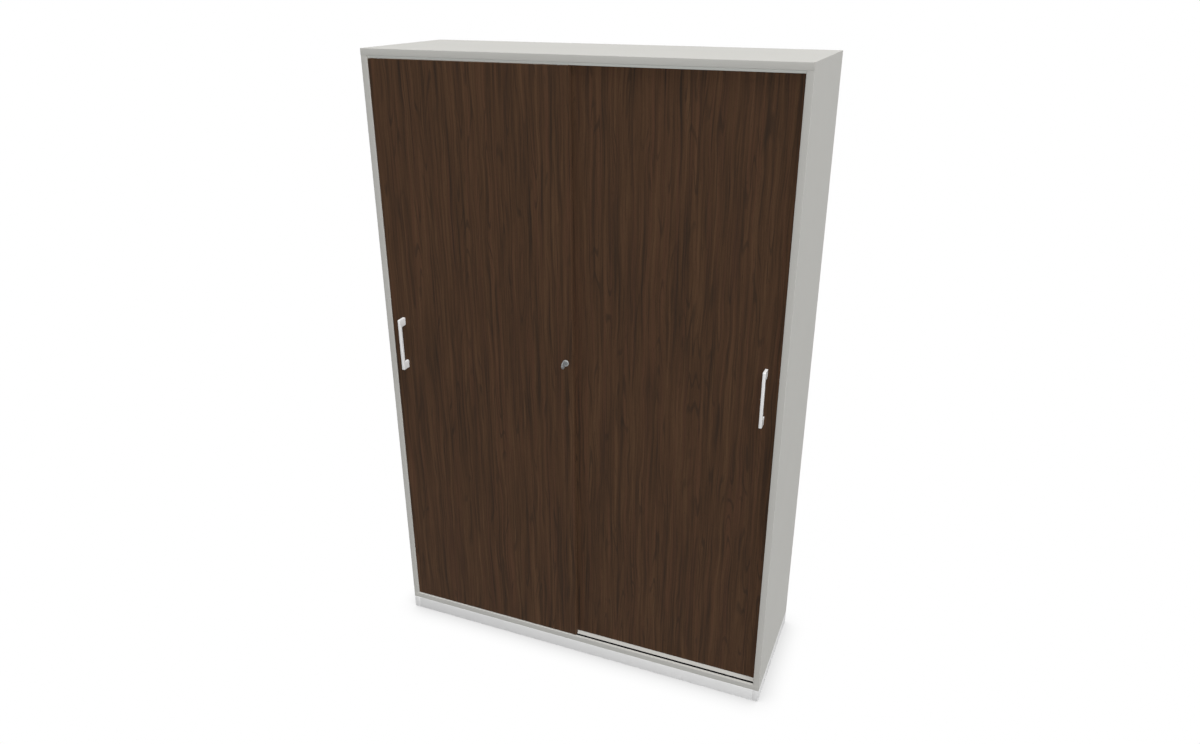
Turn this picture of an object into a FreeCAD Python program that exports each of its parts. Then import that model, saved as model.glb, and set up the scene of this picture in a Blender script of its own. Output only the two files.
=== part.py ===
import FreeCAD, Part

import math
import os
import re

import Sketcher
from FreeCAD import Vector

# Sliding door cabinet, five file heights tall, on a plinth. Two doors run past each other on
# rollers in tracks let into the bottom board; sprung pins in their top edges follow guide rails
# let into the top board. A cylinder lock in the outer door holds both doors shut.
#
# Frame: X to the right, Y to the back, Z up. The origin is on the floor, in the middle of the
# space that the cabinet fills with its handles. Lengths are in millimetres.

SIZES = [
    # carcass
    ("cabinet_width", 1200, "outside width of the carcass"),
    ("carcass_depth", 402, "front edge to back edge of the sides"),
    ("carcass_height", 1780, "underside of the bottom board to the top of the top board"),
    ("board_thickness", 18, "top, bottom, sides and centre partition"),
    ("band_thickness", 1, "plastic edge bands of boards and doors"),
    ("band_joint", 0.1, "butt joint where two edge bands meet"),
    ("back_thickness", 8, "back panel"),
    ("back_inset", 10, "back panel in from the back edges"),
    ("back_groove", 8, "depth of the groove that holds the back panel"),
    ("groove_play", 0.2, "how much wider a groove is than what sits in it"),
    # shelves
    ("shelf_count", 4, "shelves in each half"),
    ("shelf_thickness", 18, "shelf board"),
    ("shelf_play", 0.75, "gap at each end of a shelf"),
    ("shelf_front", 50, "front plane of the carcass to the shelves and the partition"),
    ("shelf_pin_size", 5, "hexagon shelf support pins, across the flats"),
    ("shelf_pin_reach", 8, "how far a support pin stands out of the board"),
    ("shelf_pin_seat", 7.5, "how far a support pin goes into the board"),
    ("shelf_pin_inset", 37, "pin rows in from the front and back of a shelf"),
    ("hole_play", 0.1, "how much wider a hole is than what sits in it"),
    ("hole_end_play", 0.5, "how much deeper a blind hole is than what sits in it"),
    # dowels
    ("dowel_diameter", 8, "glued dowels that join the boards, across the flats"),
    ("dowel_half", 12, "length of a dowel in each board"),
    ("dowel_front", 80, "front plane to the first row of dowels"),
    ("dowel_back", 330, "front plane to the last row of dowels"),
    ("dowel_rows", 2, "dowels in each joint"),
    # plinth
    ("plinth_height", 40, "plinth rails"),
    ("plinth_thickness", 18, "plinth rails"),
    ("block_size", 25, "glue blocks behind the plinth rails"),
    ("block_rise", 6, "floor to the underside of a glue block"),
    # doors
    ("door_thickness", 16, "door board"),
    ("door_setback", 3, "front plane to the face of the outer door"),
    ("door_gap", 10, "space between the two doors"),
    ("door_overlap", 10, "how far the doors cover each other when shut"),
    ("door_side_play", 0.5, "gap between a shut door and the side"),
    ("door_bottom_play", 2, "gap under a door"),
    ("door_top_play", 7.7, "gap over a door"),
    # bottom tracks, rollers
    ("track_width", 7.2, "bottom track profile"),
    ("track_depth", 8.5, "bottom track profile"),
    ("track_slot", 4.4, "slot that the wheels run in"),
    ("track_floor", 2, "material under the slot"),
    ("track_end_play", 0.5, "gap at each end of a track or guide rail"),
    ("wheel_diameter", 28, "door wheel"),
    ("wheel_width", 3.4, "door wheel"),
    ("wheel_seat_play", 0.3, "wheel over the floor of the slot"),
    ("wheel_inset", 40, "wheel centre in from the door's edge"),
    ("axle_diameter", 4, "wheel axle"),
    ("running_play", 0.05, "radial play of a turning fit"),
    ("carrier_length", 54, "roller carrier let into the door's bottom edge"),
    ("carrier_width", 12, "roller carrier"),
    ("carrier_height", 36, "roller carrier"),
    ("mortise_play", 0.1, "carrier or housing in its mortise, all round"),
    ("wheel_room", 1.2, "space round the wheel in its carrier"),
    ("stop_length", 12, "rubber stops in the tracks"),
    ("stop_play", 0.5, "stop to the wheel at the end of its run"),
    ("open_play", 12.5, "open outer door to the inner door's handle"),
    # top guide rails, guide pins
    ("guide_width", 10, "top guide rail profile"),
    ("guide_wall", 1.5, "walls of the guide rail"),
    ("guide_sink", 8, "how far the rail goes into the top board"),
    ("guide_drop", 6.5, "how far the rail hangs under the top board"),
    ("pin_diameter", 6, "guide pin"),
    ("pin_reach", 10.7, "guide pin over the door's top edge, and its travel"),
    ("pin_tail", 24, "guide pin below the door's top edge"),
    ("pin_inset", 30, "guide pin in from the door's edge"),
    ("housing_length", 22, "housing of a guide pin let into the door's top edge"),
    ("housing_width", 12, "housing of a guide pin"),
    ("housing_depth", 46, "housing of a guide pin"),
    ("housing_floor", 2, "closed end of the housing"),
    ("pin_play", 0.3, "pin in its housing, radial"),
    ("peg_size", 4, "square finger peg on the guide pin"),
    ("peg_drop", 18, "finger peg below the door's top edge"),
    ("peg_reach", 3, "finger peg out of the door's back"),
    ("peg_play", 0.3, "peg in its slot, each side"),
    # handles
    ("handle_length", 160, "bow handle"),
    ("handle_width", 8, "bow handle"),
    ("handle_projection", 28, "bow handle in front of the door"),
    ("handle_bar", 9, "depth of the bar"),
    ("handle_foot", 24, "height of a foot"),
    ("handle_corner", 3, "round outer corners"),
    ("handle_crook", 2.5, "round inner corners"),
    ("handle_bevel", 1, "bevel of the long edges"),
    ("handle_pitch", 128, "distance between the handle's screws"),
    ("handle_inset", 40, "handle centre in from the door's outer edge"),
    ("handle_height", 927, "handle centre above the door's bottom edge"),
    ("handle_screw", 4, "handle screws, across the flats"),
    ("handle_screw_bite", 10, "handle screws in the handle"),
    ("handle_screw_head", 8, "handle screws, head across the flats"),
    ("handle_head_height", 2.4, "handle screws, head height"),
    # lock
    ("lock_inset", 20.5, "lock centre in from the outer door's inner edge"),
    ("lock_height", 943.4, "lock centre above the door's bottom edge"),
    ("rosette_diameter", 19.5, "front flange of the lock"),
    ("rosette_height", 2.5, "front flange of the lock"),
    ("barrel_diameter", 16, "threaded barrel of the lock"),
    ("barrel_end", 3, "barrel beyond the back of the door"),
    ("nut_size", 21, "lock nut, across the flats"),
    ("nut_thickness", 2.6, "lock nut"),
    ("plug_diameter", 11.4, "turning plug"),
    ("plug_shoulder", 13.4, "shoulder at the plug's face"),
    ("shoulder_depth", 1.6, "shoulder at the plug's face"),
    ("plug_recess", 0.3, "plug's face behind the rosette's face"),
    ("plug_end_play", 0.1, "plug's shoulder to its seat"),
    ("tenon_size", 6.5, "square end of the plug"),
    ("cam_lift", 0.3, "lock cam to the end of the barrel"),
    ("lock_cam_thickness", 1.7, "lock cam"),
    ("lock_cam_reach", 24, "pivot to the tip of the cam"),
    ("lock_cam_width", 10, "arm of the cam"),
    ("lock_cam_toe", 7.5, "toe of the cam from its centre line"),
    ("lock_cam_toe_width", 8, "toe of the cam"),
    ("lock_cam_round", 2, "round corners of the cam"),
    ("cam_screw_diameter", 3, "screw that holds the cam"),
    ("cam_screw_head", 10, "screw that holds the cam"),
    ("cam_screw_head_height", 1.6, "screw that holds the cam"),
    ("cam_screw_length", 6, "screw that holds the cam"),
    ("keyway_width", 2.4, "slot in the plug"),
    ("keyway_height", 7.6, "slot in the plug"),
    ("keyway_depth", 14, "slot in the plug"),
    ("key_thickness", 2, "flat key"),
    ("key_blade_height", 7, "blade of the key"),
    ("key_blade_length", 13, "blade of the key inside the plug"),
    ("key_cut", 1.6, "depth of the cuts in the blade"),
    ("key_cuts", 3, "cuts in the blade"),
    ("key_shoulder_play", 0.3, "shoulder of the key to the plug's face"),
    ("key_bow_diameter", 22, "round bow of the key"),
    ("key_bow_centre", 14, "bow centre in front of the rosette"),
    ("key_hole_diameter", 5, "ring hole in the bow"),
    ("key_hole_offset", 5.5, "ring hole in front of the bow's centre"),
    ("key_neck_height", 9.5, "neck between bow and blade"),
    ("keeper_thickness", 1.5, "keeper on the edge of the inner door"),
    ("keeper_edge", 0.5, "keeper plate in from the inner door's face"),
    ("keeper_width", 13, "keeper plate"),
    ("keeper_height", 40, "keeper plate"),
    ("keeper_top", 8, "top of the keeper plate below the lock centre"),
    ("keeper_lug_reach", 8, "lug in front of the inner door"),
    ("keeper_lug_top", 15.5, "top of the lug below the lock centre"),
    ("keeper_lug_height", 14.5, "lug of the keeper"),
    ("keeper_screw_inset", 5, "keeper screws in from the plate's ends"),
    ("screw_shank", 3.5, "keeper screws, across the flats"),
    ("screw_head", 7, "keeper screws, head across the flats"),
    ("screw_head_height", 1.6, "keeper screws, head height"),
    ("screw_length", 12, "keeper screws under the head"),
]

# Places and lengths that follow from the sizes, as expressions.
INNER_WIDTH = "(cabinet_width - 2 * board_thickness)"
INNER_HEIGHT = "(carcass_height - 2 * board_thickness)"
FRONT = "(-(carcass_depth - handle_projection + door_setback) / 2)"
FLOOR_BOARD_TOP = "(plinth_height + board_thickness)"
TOP_BOARD_BOTTOM = "(plinth_height + carcass_height - board_thickness)"
BACK_PANEL_FRONT = "(carcass_depth - back_inset - back_thickness)"
BAY_WIDTH = f"(({INNER_WIDTH} - board_thickness) / 2)"
SHELF_CLEAR = f"(({INNER_HEIGHT} - shelf_count * shelf_thickness) / (shelf_count + 1))"
SHELF_PITCH = f"({SHELF_CLEAR} + shelf_thickness)"
SHELF_DEPTH = f"({BACK_PANEL_FRONT} - shelf_front)"
PIN_ROW = "(shelf_front + shelf_pin_inset)"
PIN_ROW_SPACING = f"({SHELF_DEPTH} - 2 * shelf_pin_inset)"
PIN_HEIGHT = f"({SHELF_CLEAR} - shelf_pin_size / 2)"

DOOR_WIDTH = f"(({INNER_WIDTH} - 2 * door_side_play + door_overlap) / 2)"
DOOR_HEIGHT = f"({INNER_HEIGHT} - door_bottom_play - door_top_play)"
DOOR_PITCH = "(door_thickness + door_gap)"
DOOR_BOTTOM = f"({FLOOR_BOARD_TOP} + door_bottom_play)"
DOOR_MIDDLE = "(door_thickness / 2)"
DOOR_TRAVEL = f"({DOOR_WIDTH} - door_overlap - handle_inset - handle_width / 2 - open_play)"
DOOR_LEFT = {
    "left": f"(-{INNER_WIDTH} / 2 + door_side_play)",
    "right": f"({INNER_WIDTH} / 2 - door_side_play - {DOOR_WIDTH})",
}
DOOR_SETBACK = {"left": "door_setback", "right": f"(door_setback + {DOOR_PITCH})"}
DOOR_FACE = {side: f"({FRONT} + {DOOR_SETBACK[side]})" for side in DOOR_SETBACK}

SLOT_DEPTH = "(track_depth - track_floor)"
WHEEL_RADIUS = "(wheel_diameter / 2)"
WHEEL_RISE = f"({WHEEL_RADIUS} + wheel_seat_play - {SLOT_DEPTH} - door_bottom_play)"
WHEEL_CHORD = f"sqrt({WHEEL_RADIUS}^2 - ({WHEEL_RADIUS} + wheel_seat_play - {SLOT_DEPTH})^2)"
WHEEL_PLACES = ["wheel_inset", f"({DOOR_WIDTH} - wheel_inset)"]
PIN_PLACES = ["pin_inset", f"({DOOR_WIDTH} - pin_inset)"]
LOCK_X = f"({DOOR_WIDTH} - lock_inset)"
BARREL_BACK = "(door_thickness + barrel_end)"
CAM_FRONT = f"({BARREL_BACK} + cam_lift)"
CAM_BACK = f"({CAM_FRONT} + lock_cam_thickness)"
PLUG_FACE = "(-rosette_height + plug_recess)"

doc = FreeCAD.newDocument("SlidingDoorCabinet")
sheet = doc.addObject("Spreadsheet::Sheet", "Sizes")
for row, (alias, size, meaning) in enumerate(SIZES, start=1):
    sheet.set(f"A{row}", meaning)
    sheet.set(f"B{row}", str(size))
    sheet.setAlias(f"B{row}", alias)
doc.recompute()
ALIASES = {alias for alias, size, meaning in SIZES}


def bound(expression):
    """The expression with each alias read from the sheet."""
    return re.sub(r"[a-z_]+", lambda m: f"Sizes.{m[0]}" if m[0] in ALIASES else m[0], expression)


def number(expression):
    """What the expression gives now."""
    return float(sheet.evalExpression(bound(expression)))


def bind(target, prop, expression):
    target.setExpression(prop, bound(expression))


def place(piece, x, y, z):
    for axis, expression in zip("xyz", (x, y, z)):
        bind(piece, f"Placement.Base.{axis}", expression)


# Building blocks -----------------------------------------------------------------------------

PLANE_SIGN = {"XY": 1, "YZ": 1, "XZ": -1}  # the normal of the XZ plane points along -Y


def body(label, several=False):
    piece = doc.addObject("PartDesign::Body", label)
    piece.Label = label
    piece.AllowCompound = several
    return piece


def origin_feature(piece, role):
    return next(feature for feature in piece.Origin.OriginFeatures if feature.Role == role)


def new_sketch(piece, plane, offset="0", at=("0", "0")):
    """A sketch on an origin plane, moved by offset along the third axis and by at in the plane."""
    sketch = piece.newObject("Sketcher::SketchObject", "Sketch")
    sketch.AttachmentSupport = [(origin_feature(piece, f"{plane}_Plane"), "")]
    sketch.MapMode = "FlatFace"
    sign = "" if PLANE_SIGN[plane] > 0 else "-"
    bind(sketch, "AttachmentOffset.Base.x", at[0])
    bind(sketch, "AttachmentOffset.Base.y", at[1])
    bind(sketch, "AttachmentOffset.Base.z", f"{sign}({offset})")
    return sketch


def pin_down(sketch, geometry, point, x, y):
    """Ties a point of the sketch to its distances from the sketch's origin."""
    for kind, expression in (("DistanceX", x), ("DistanceY", y)):
        index = sketch.addConstraint(
            Sketcher.Constraint(kind, -1, 1, geometry, point, number(expression))
        )
        bind(sketch, f"Constraints[{index}]", expression)


def polygon(sketch, corners):
    """A closed outline through corners, each a pair of expressions."""
    points = [Vector(number(x), number(y), 0) for x, y in corners]
    count = len(points)
    first = sketch.GeometryCount
    for i in range(count):
        sketch.addGeometry(Part.LineSegment(points[i], points[(i + 1) % count]), False)
    for i in range(count):
        sketch.addConstraint(
            Sketcher.Constraint("Coincident", first + i, 2, first + (i + 1) % count, 1)
        )
        pin_down(sketch, first + i, 1, *corners[i])


def rectangle(sketch, left, bottom, width, height):
    right = f"({left} + {width})"
    top = f"({bottom} + {height})"
    polygon(sketch, [(left, bottom), (right, bottom), (right, top), (left, top)])


def circle(sketch, x, y, diameter):
    centre = Vector(number(x), number(y), 0)
    index = sketch.addGeometry(
        Part.Circle(centre, Vector(0, 0, 1), number(diameter) / 2), False
    )
    tie = sketch.addConstraint(Sketcher.Constraint("Diameter", index, number(diameter)))
    bind(sketch, f"Constraints[{tie}]", diameter)
    pin_down(sketch, index, 3, x, y)


def hexagon(sketch, x, y, across):
    """Six sides, two of them level, measured over the flats; it stands for small hidden rounds."""
    corner = f"{across} / 2 / cos(30)"
    polygon(sketch, [
        (f"({x} + {corner} * cos({turn}))", f"({y} + {corner} * sin({turn}))")
        for turn in range(0, 360, 60)
    ])


def arch(sketch, x, bottom, centre, width):
    """A slot outline with a flat bottom and a half round top about the height centre."""
    left, right = f"({x} - {width} / 2)", f"({x} + {width} / 2)"
    corners = [(left, centre), (left, bottom), (right, bottom), (right, centre)]
    points = [Vector(number(a), number(b), 0) for a, b in corners]
    first = sketch.GeometryCount
    for i in range(3):
        sketch.addGeometry(Part.LineSegment(points[i], points[i + 1]), False)
    middle = Part.Circle(Vector(number(x), number(centre), 0), Vector(0, 0, 1), number(width) / 2)
    top = sketch.addGeometry(Part.ArcOfCircle(middle, 0, math.pi), False)
    ends = [(top, 2, first, 1), (first, 2, first + 1, 1), (first + 1, 2, first + 2, 1)]
    for joint in ends + [(first + 2, 2, top, 1)]:
        sketch.addConstraint(Sketcher.Constraint("Coincident", *joint))
    for i in range(3):
        pin_down(sketch, first + i, 1, *corners[i])
    pin_down(sketch, first + 2, 2, *corners[3])
    rise = sketch.addConstraint(
        Sketcher.Constraint("DistanceY", -1, 1, top, 3, number(centre))
    )
    bind(sketch, f"Constraints[{rise}]", centre)


def plane_of(sketch):
    """Which origin plane a sketch lies on."""
    return sketch.AttachmentSupport[0][0].Role[:2]


def pad(piece, sketch, length, towards="+"):
    """Material from the sketch towards the plus or minus end of its third axis."""
    feature = piece.newObject("PartDesign::Pad", "Pad")
    feature.Profile = sketch
    bind(feature, "Length", length)
    feature.Reversed = (towards == "+") != (PLANE_SIGN[plane_of(sketch)] > 0)
    return finish(piece, feature)


def pocket(piece, sketch, depth, towards):
    """A cut from the sketch towards the plus or minus end of its third axis."""
    feature = piece.newObject("PartDesign::Pocket", "Pocket")
    feature.Profile = sketch
    bind(feature, "Length", depth)
    feature.Reversed = (towards == "+") == (PLANE_SIGN[plane_of(sketch)] > 0)
    return finish(piece, feature)


def revolve(piece, sketch):
    """A full turn round the upright axis of the sketch."""
    feature = piece.newObject("PartDesign::Revolution", "Revolution")
    feature.Profile = sketch
    feature.ReferenceAxis = (sketch, ["V_Axis"])
    feature.Angle = 360
    return finish(piece, feature)


def finish(piece, feature):
    piece.Tip = feature
    doc.recompute()
    return feature


def linear(piece, axis, spacing, count):
    """One direction of a repeat."""
    step = piece.newObject("PartDesign::LinearPattern", "Row")
    step.Direction = (origin_feature(piece, f"{axis}_Axis"), [""])
    step.Mode = "Spacing"
    bind(step, "Offset", spacing)
    bind(step, "Occurrences", count)
    return step


def repeat(piece, features, *steps):
    """Features copied by each step in turn."""
    pattern = piece.newObject("PartDesign::MultiTransform", "Repeat")
    pattern.Originals = features
    pattern.Transformations = list(steps)
    return finish(piece, pattern)


NEAR = 0.01  # how close counts as on a plane


def edges_where(shape, test):
    """Names of the edges whose middle point and direction pass the test."""
    names = []
    for i, edge in enumerate(shape.Edges, start=1):
        middle = edge.valueAt((edge.FirstParameter + edge.LastParameter) / 2)
        if test(edge, middle):
            names.append(f"Edge{i}")
    return names


def soften(piece, kind, feature, size, test):
    """A Fillet or a Chamfer on those edges of the feature that pass the test."""
    change = piece.newObject(f"PartDesign::{kind}", kind)
    change.Base = (feature, edges_where(feature.Shape, test))
    bind(change, "Radius" if kind == "Fillet" else "Size", size)
    return finish(piece, change)


def along(edge, axis):
    """Whether a straight edge runs along an axis, given as 0, 1 or 2."""
    return edge.Curve.TypeId == "Part::GeomLine" and abs(edge.Curve.Direction[axis]) > 1 - NEAR


# Carcass -------------------------------------------------------------------------------------

SIDE_MIDDLE = "(cabinet_width - board_thickness) / 2"
DOWEL_PLACES = [f"-{SIDE_MIDDLE}", "0", SIDE_MIDDLE]
DOWEL_SPACING = "((dowel_back - dowel_front) / (dowel_rows - 1))"


def dowel_holes(piece, z, inwards, places):
    """Rows of blind holes for the dowels, in a face that looks up or down."""
    sockets = new_sketch(piece, "XY", z)
    for x in places:
        hexagon(sockets, x, "dowel_front", "(dowel_diameter + hole_play)")
    first = pocket(piece, sockets, "(dowel_half + hole_end_play)", inwards)
    repeat(piece, [first], linear(piece, "Y", DOWEL_SPACING, "dowel_rows"))


def flat_board(label, z, inner_face, inwards, channel_width, channel_depth):
    """Top or bottom board: groove for the back, two channels for the doors, dowel holes."""
    piece = body(label)
    outline = new_sketch(piece, "XY")
    rectangle(
        outline, "-cabinet_width / 2", "band_thickness",
        "cabinet_width", "(carcass_depth - band_thickness)",
    )
    pad(piece, outline, "board_thickness")

    groove = new_sketch(piece, "XY", inner_face)
    rectangle(
        groove, f"-({INNER_WIDTH} / 2 + back_groove)", f"({BACK_PANEL_FRONT} - groove_play / 2)",
        f"({INNER_WIDTH} + 2 * back_groove)", "(back_thickness + groove_play)",
    )
    pocket(piece, groove, "back_groove", inwards)

    channels = new_sketch(piece, "XY", inner_face)
    width = f"({channel_width} + groove_play)"
    for setback in DOOR_SETBACK.values():
        middle = f"({setback} + {DOOR_MIDDLE})"
        rectangle(channels, f"-{INNER_WIDTH} / 2", f"({middle} - {width} / 2)", INNER_WIDTH, width)
    pocket(piece, channels, channel_depth, inwards)

    dowel_holes(piece, inner_face, inwards, DOWEL_PLACES)
    place(piece, "0", FRONT, z)


def shelf_pin_holes(piece, face, inwards):
    """Two rows of holes for the shelf pins in one face of an upright."""
    hole = new_sketch(piece, "YZ", face)
    hexagon(hole, PIN_ROW, PIN_HEIGHT, "(shelf_pin_size + hole_play)")
    first = pocket(piece, hole, "(shelf_pin_seat + hole_end_play)", inwards)
    repeat(
        piece, [first],
        linear(piece, "Y", PIN_ROW_SPACING, "2"),
        linear(piece, "Z", SHELF_PITCH, "shelf_count"),
    )


def side(label, x, inner_face, inwards):
    """A side of the carcass with its back groove, dowel holes and shelf pin holes."""
    piece = body(label)
    outline = new_sketch(piece, "YZ")
    rectangle(outline, "band_thickness", "0", "(carcass_depth - band_thickness)", INNER_HEIGHT)
    pad(piece, outline, "board_thickness")

    groove = new_sketch(piece, "YZ", inner_face)
    rectangle(
        groove, f"({BACK_PANEL_FRONT} - groove_play / 2)", "0",
        "(back_thickness + groove_play)", INNER_HEIGHT,
    )
    pocket(piece, groove, "back_groove", inwards)

    for end, upwards in (("0", "+"), (INNER_HEIGHT, "-")):
        dowel_holes(piece, end, upwards, ["board_thickness / 2"])
    shelf_pin_holes(piece, inner_face, inwards)
    place(piece, x, FRONT, FLOOR_BOARD_TOP)


def centre_partition():
    piece = body("centre_partition")
    outline = new_sketch(piece, "YZ")
    rectangle(
        outline, "(shelf_front + band_thickness)", "0",
        f"({SHELF_DEPTH} - band_thickness)", INNER_HEIGHT,
    )
    pad(piece, outline, "board_thickness")
    for end, upwards in (("0", "+"), (INNER_HEIGHT, "-")):
        dowel_holes(piece, end, upwards, ["board_thickness / 2"])
    shelf_pin_holes(piece, "0", "+")
    shelf_pin_holes(piece, "board_thickness", "-")
    place(piece, "(-board_thickness / 2)", FRONT, FLOOR_BOARD_TOP)


def back_panel():
    piece = body("back_panel")
    tongue = "(back_groove - groove_play)"
    outline = new_sketch(piece, "XZ")
    rectangle(
        outline, f"-({INNER_WIDTH} / 2 + {tongue})", f"-{tongue}",
        f"({INNER_WIDTH} + 2 * {tongue})", f"({INNER_HEIGHT} + 2 * {tongue})",
    )
    pad(piece, outline, "back_thickness")
    place(piece, "0", f"({FRONT} + {BACK_PANEL_FRONT})", FLOOR_BOARD_TOP)


def shelf(label, bay_left, level):
    """A loose shelf; level counts from 1 at the bottom."""
    piece = body(label)
    outline = new_sketch(piece, "XY")
    rectangle(
        outline, "shelf_play", "(shelf_front + band_thickness)",
        f"({BAY_WIDTH} - 2 * shelf_play)", f"({SHELF_DEPTH} - band_thickness - shelf_play)",
    )
    pad(piece, outline, "shelf_thickness")
    height = f"({FLOOR_BOARD_TOP} + {level} * {SHELF_PITCH} - shelf_thickness)"
    place(piece, bay_left, FRONT, height)


def shelf_pins():
    """Four support pins under each shelf."""
    piece = body("shelf_pins", several=True)
    pads = []
    from_side = f"-({INNER_WIDTH} / 2 + shelf_pin_seat)"
    from_partition = "-(board_thickness / 2 + shelf_pin_reach)"
    for start in (from_side, from_partition):
        pin = new_sketch(piece, "YZ", start)
        hexagon(pin, PIN_ROW, PIN_HEIGHT, "shelf_pin_size")
        pads.append(pad(piece, pin, "(shelf_pin_seat + shelf_pin_reach)"))
    repeat(
        piece, pads,
        linear(piece, "X", f"({BAY_WIDTH} + board_thickness)", "2"),
        linear(piece, "Y", PIN_ROW_SPACING, "2"),
        linear(piece, "Z", SHELF_PITCH, "shelf_count"),
    )
    place(piece, "0", FRONT, FLOOR_BOARD_TOP)


def carcass_edge_bands():
    """Strips on the front edges of the boards, the partition and the shelves."""
    piece = body("carcass_edge_bands", several=True)
    frame = new_sketch(piece, "XZ")
    for z in ("plinth_height", TOP_BOARD_BOTTOM):
        rectangle(frame, "-cabinet_width / 2", z, "cabinet_width", "board_thickness")
    strip_bottom = f"({FLOOR_BOARD_TOP} + band_joint)"
    strip_height = f"({INNER_HEIGHT} - 2 * band_joint)"
    for x in ("-cabinet_width / 2", "(cabinet_width / 2 - board_thickness)"):
        rectangle(frame, x, strip_bottom, "board_thickness", strip_height)
    pad(piece, frame, "band_thickness")

    partition = new_sketch(piece, "XZ", "shelf_front")
    rectangle(partition, "-board_thickness / 2", FLOOR_BOARD_TOP, "board_thickness", INNER_HEIGHT)
    pad(piece, partition, "band_thickness")

    shelves = new_sketch(piece, "XZ", "shelf_front")
    for bay_left in (f"-{INNER_WIDTH} / 2", "board_thickness / 2"):
        rectangle(
            shelves, f"({bay_left} + shelf_play)", f"({FLOOR_BOARD_TOP} + {SHELF_CLEAR})",
            f"({BAY_WIDTH} - 2 * shelf_play)", "shelf_thickness",
        )
    row = pad(piece, shelves, "band_thickness")
    repeat(piece, [row], linear(piece, "Z", SHELF_PITCH, "shelf_count"))
    place(piece, "0", FRONT, "0")


def dowels():
    """Dowels that join the top and bottom boards to the sides and the partition."""
    piece = body("dowels", several=True)
    pads = []
    for joint in (FLOOR_BOARD_TOP, TOP_BOARD_BOTTOM):
        ends = new_sketch(piece, "XY", f"({joint} - dowel_half)")
        for x in DOWEL_PLACES:
            hexagon(ends, x, "dowel_front", "dowel_diameter")
        pads.append(pad(piece, ends, "(2 * dowel_half)"))
    repeat(piece, pads, linear(piece, "Y", DOWEL_SPACING, "dowel_rows"))
    place(piece, "0", FRONT, "0")


flat_board(
    "top_board", TOP_BOARD_BOTTOM, "0", "+", "guide_width", "(guide_sink + groove_play)"
)
flat_board(
    "bottom_board", "plinth_height", "board_thickness", "-", "track_width", "track_depth"
)
side("left_side", "-cabinet_width / 2", "board_thickness", "-")
side("right_side", "(cabinet_width / 2 - board_thickness)", "0", "+")
centre_partition()
back_panel()
for hand, bay_left in (("left", f"-{INNER_WIDTH} / 2"), ("right", "board_thickness / 2")):
    for level in range(1, round(number("shelf_count")) + 1):
        shelf(f"{hand}_shelf_{level}", bay_left, level)
shelf_pins()
carcass_edge_bands()
dowels()


# Plinth --------------------------------------------------------------------------------------

def long_rail(label, y):
    """Front or back rail of the plinth, between the side rails."""
    piece = body(label)
    outline = new_sketch(piece, "XY")
    length = "(cabinet_width - 2 * plinth_thickness)"
    rectangle(outline, f"-{length} / 2", "0", length, "plinth_thickness")
    pad(piece, outline, "plinth_height")
    place(piece, "0", y, "0")


def end_rail(label, x):
    """Left or right rail of the plinth, as deep as the carcass."""
    piece = body(label)
    outline = new_sketch(piece, "YZ")
    rectangle(outline, "0", "0", "carcass_depth", "plinth_height")
    pad(piece, outline, "plinth_thickness")
    place(piece, x, FRONT, "0")


def plinth_blocks():
    """Glue blocks behind the long rails, in the corners and in the middle."""
    piece = body("plinth_blocks", several=True)
    corner = "(cabinet_width / 2 - plinth_thickness)"
    outline = new_sketch(piece, "XY")
    for x in (f"-{corner}", "-block_size / 2", f"({corner} - block_size)"):
        for y in ("plinth_thickness", "(carcass_depth - plinth_thickness - block_size)"):
            rectangle(outline, x, y, "block_size", "block_size")
    pad(piece, outline, "(plinth_height - block_rise)")
    place(piece, "0", FRONT, "block_rise")


long_rail("plinth_front", FRONT)
long_rail("plinth_back", f"({FRONT} + carcass_depth - plinth_thickness)")
end_rail("plinth_left", "-cabinet_width / 2")
end_rail("plinth_right", "(cabinet_width / 2 - plinth_thickness)")
plinth_blocks()


# Tracks and guide rails ----------------------------------------------------------------------

RAIL_LENGTH = f"({INNER_WIDTH} - 2 * track_end_play)"


def channel(label, door, z, width, height, slot, web, opens_up):
    """A U-shaped profile along the whole inside width, under or over one door."""
    piece = body(label)
    near, far = ("0", height) if opens_up else (height, "0")
    web_edge = web if opens_up else f"({height} - {web})"
    section = new_sketch(piece, "YZ")
    polygon(section, [
        (f"-{width} / 2", near),
        (f"{width} / 2", near),
        (f"{width} / 2", far),
        (f"{slot} / 2", far),
        (f"{slot} / 2", web_edge),
        (f"-{slot} / 2", web_edge),
        (f"-{slot} / 2", far),
        (f"-{width} / 2", far),
    ])
    pad(piece, section, RAIL_LENGTH)
    place(piece, f"-{RAIL_LENGTH} / 2", f"({DOOR_FACE[door]} + {DOOR_MIDDLE})", z)


def track_stops():
    """Rubber blocks in the tracks that meet the wheels at both ends of each door's run."""
    piece = body("track_stops", several=True)
    reach = f"({WHEEL_CHORD} + stop_play)"
    blocks = new_sketch(piece, "XY")
    first = {door: f"({DOOR_LEFT[door]} + {WHEEL_PLACES[0]})" for door in DOOR_LEFT}
    last = {door: f"({DOOR_LEFT[door]} + {WHEEL_PLACES[1]})" for door in DOOR_LEFT}
    starts = {
        "left": (
            f"({first['left']} - {reach} - stop_length)",
            f"({last['left']} + {DOOR_TRAVEL} + {reach})",
        ),
        "right": (
            f"({first['right']} - {DOOR_TRAVEL} - {reach} - stop_length)",
            f"({last['right']} + {reach})",
        ),
    }
    width = "(track_slot - hole_play)"
    for door, places in starts.items():
        middle = f"({DOOR_SETBACK[door]} + {DOOR_MIDDLE})"
        for start in places:
            rectangle(blocks, start, f"({middle} - {width} / 2)", "stop_length", width)
    pad(piece, blocks, SLOT_DEPTH)
    place(piece, "0", FRONT, f"({FLOOR_BOARD_TOP} - {SLOT_DEPTH})")


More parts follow.
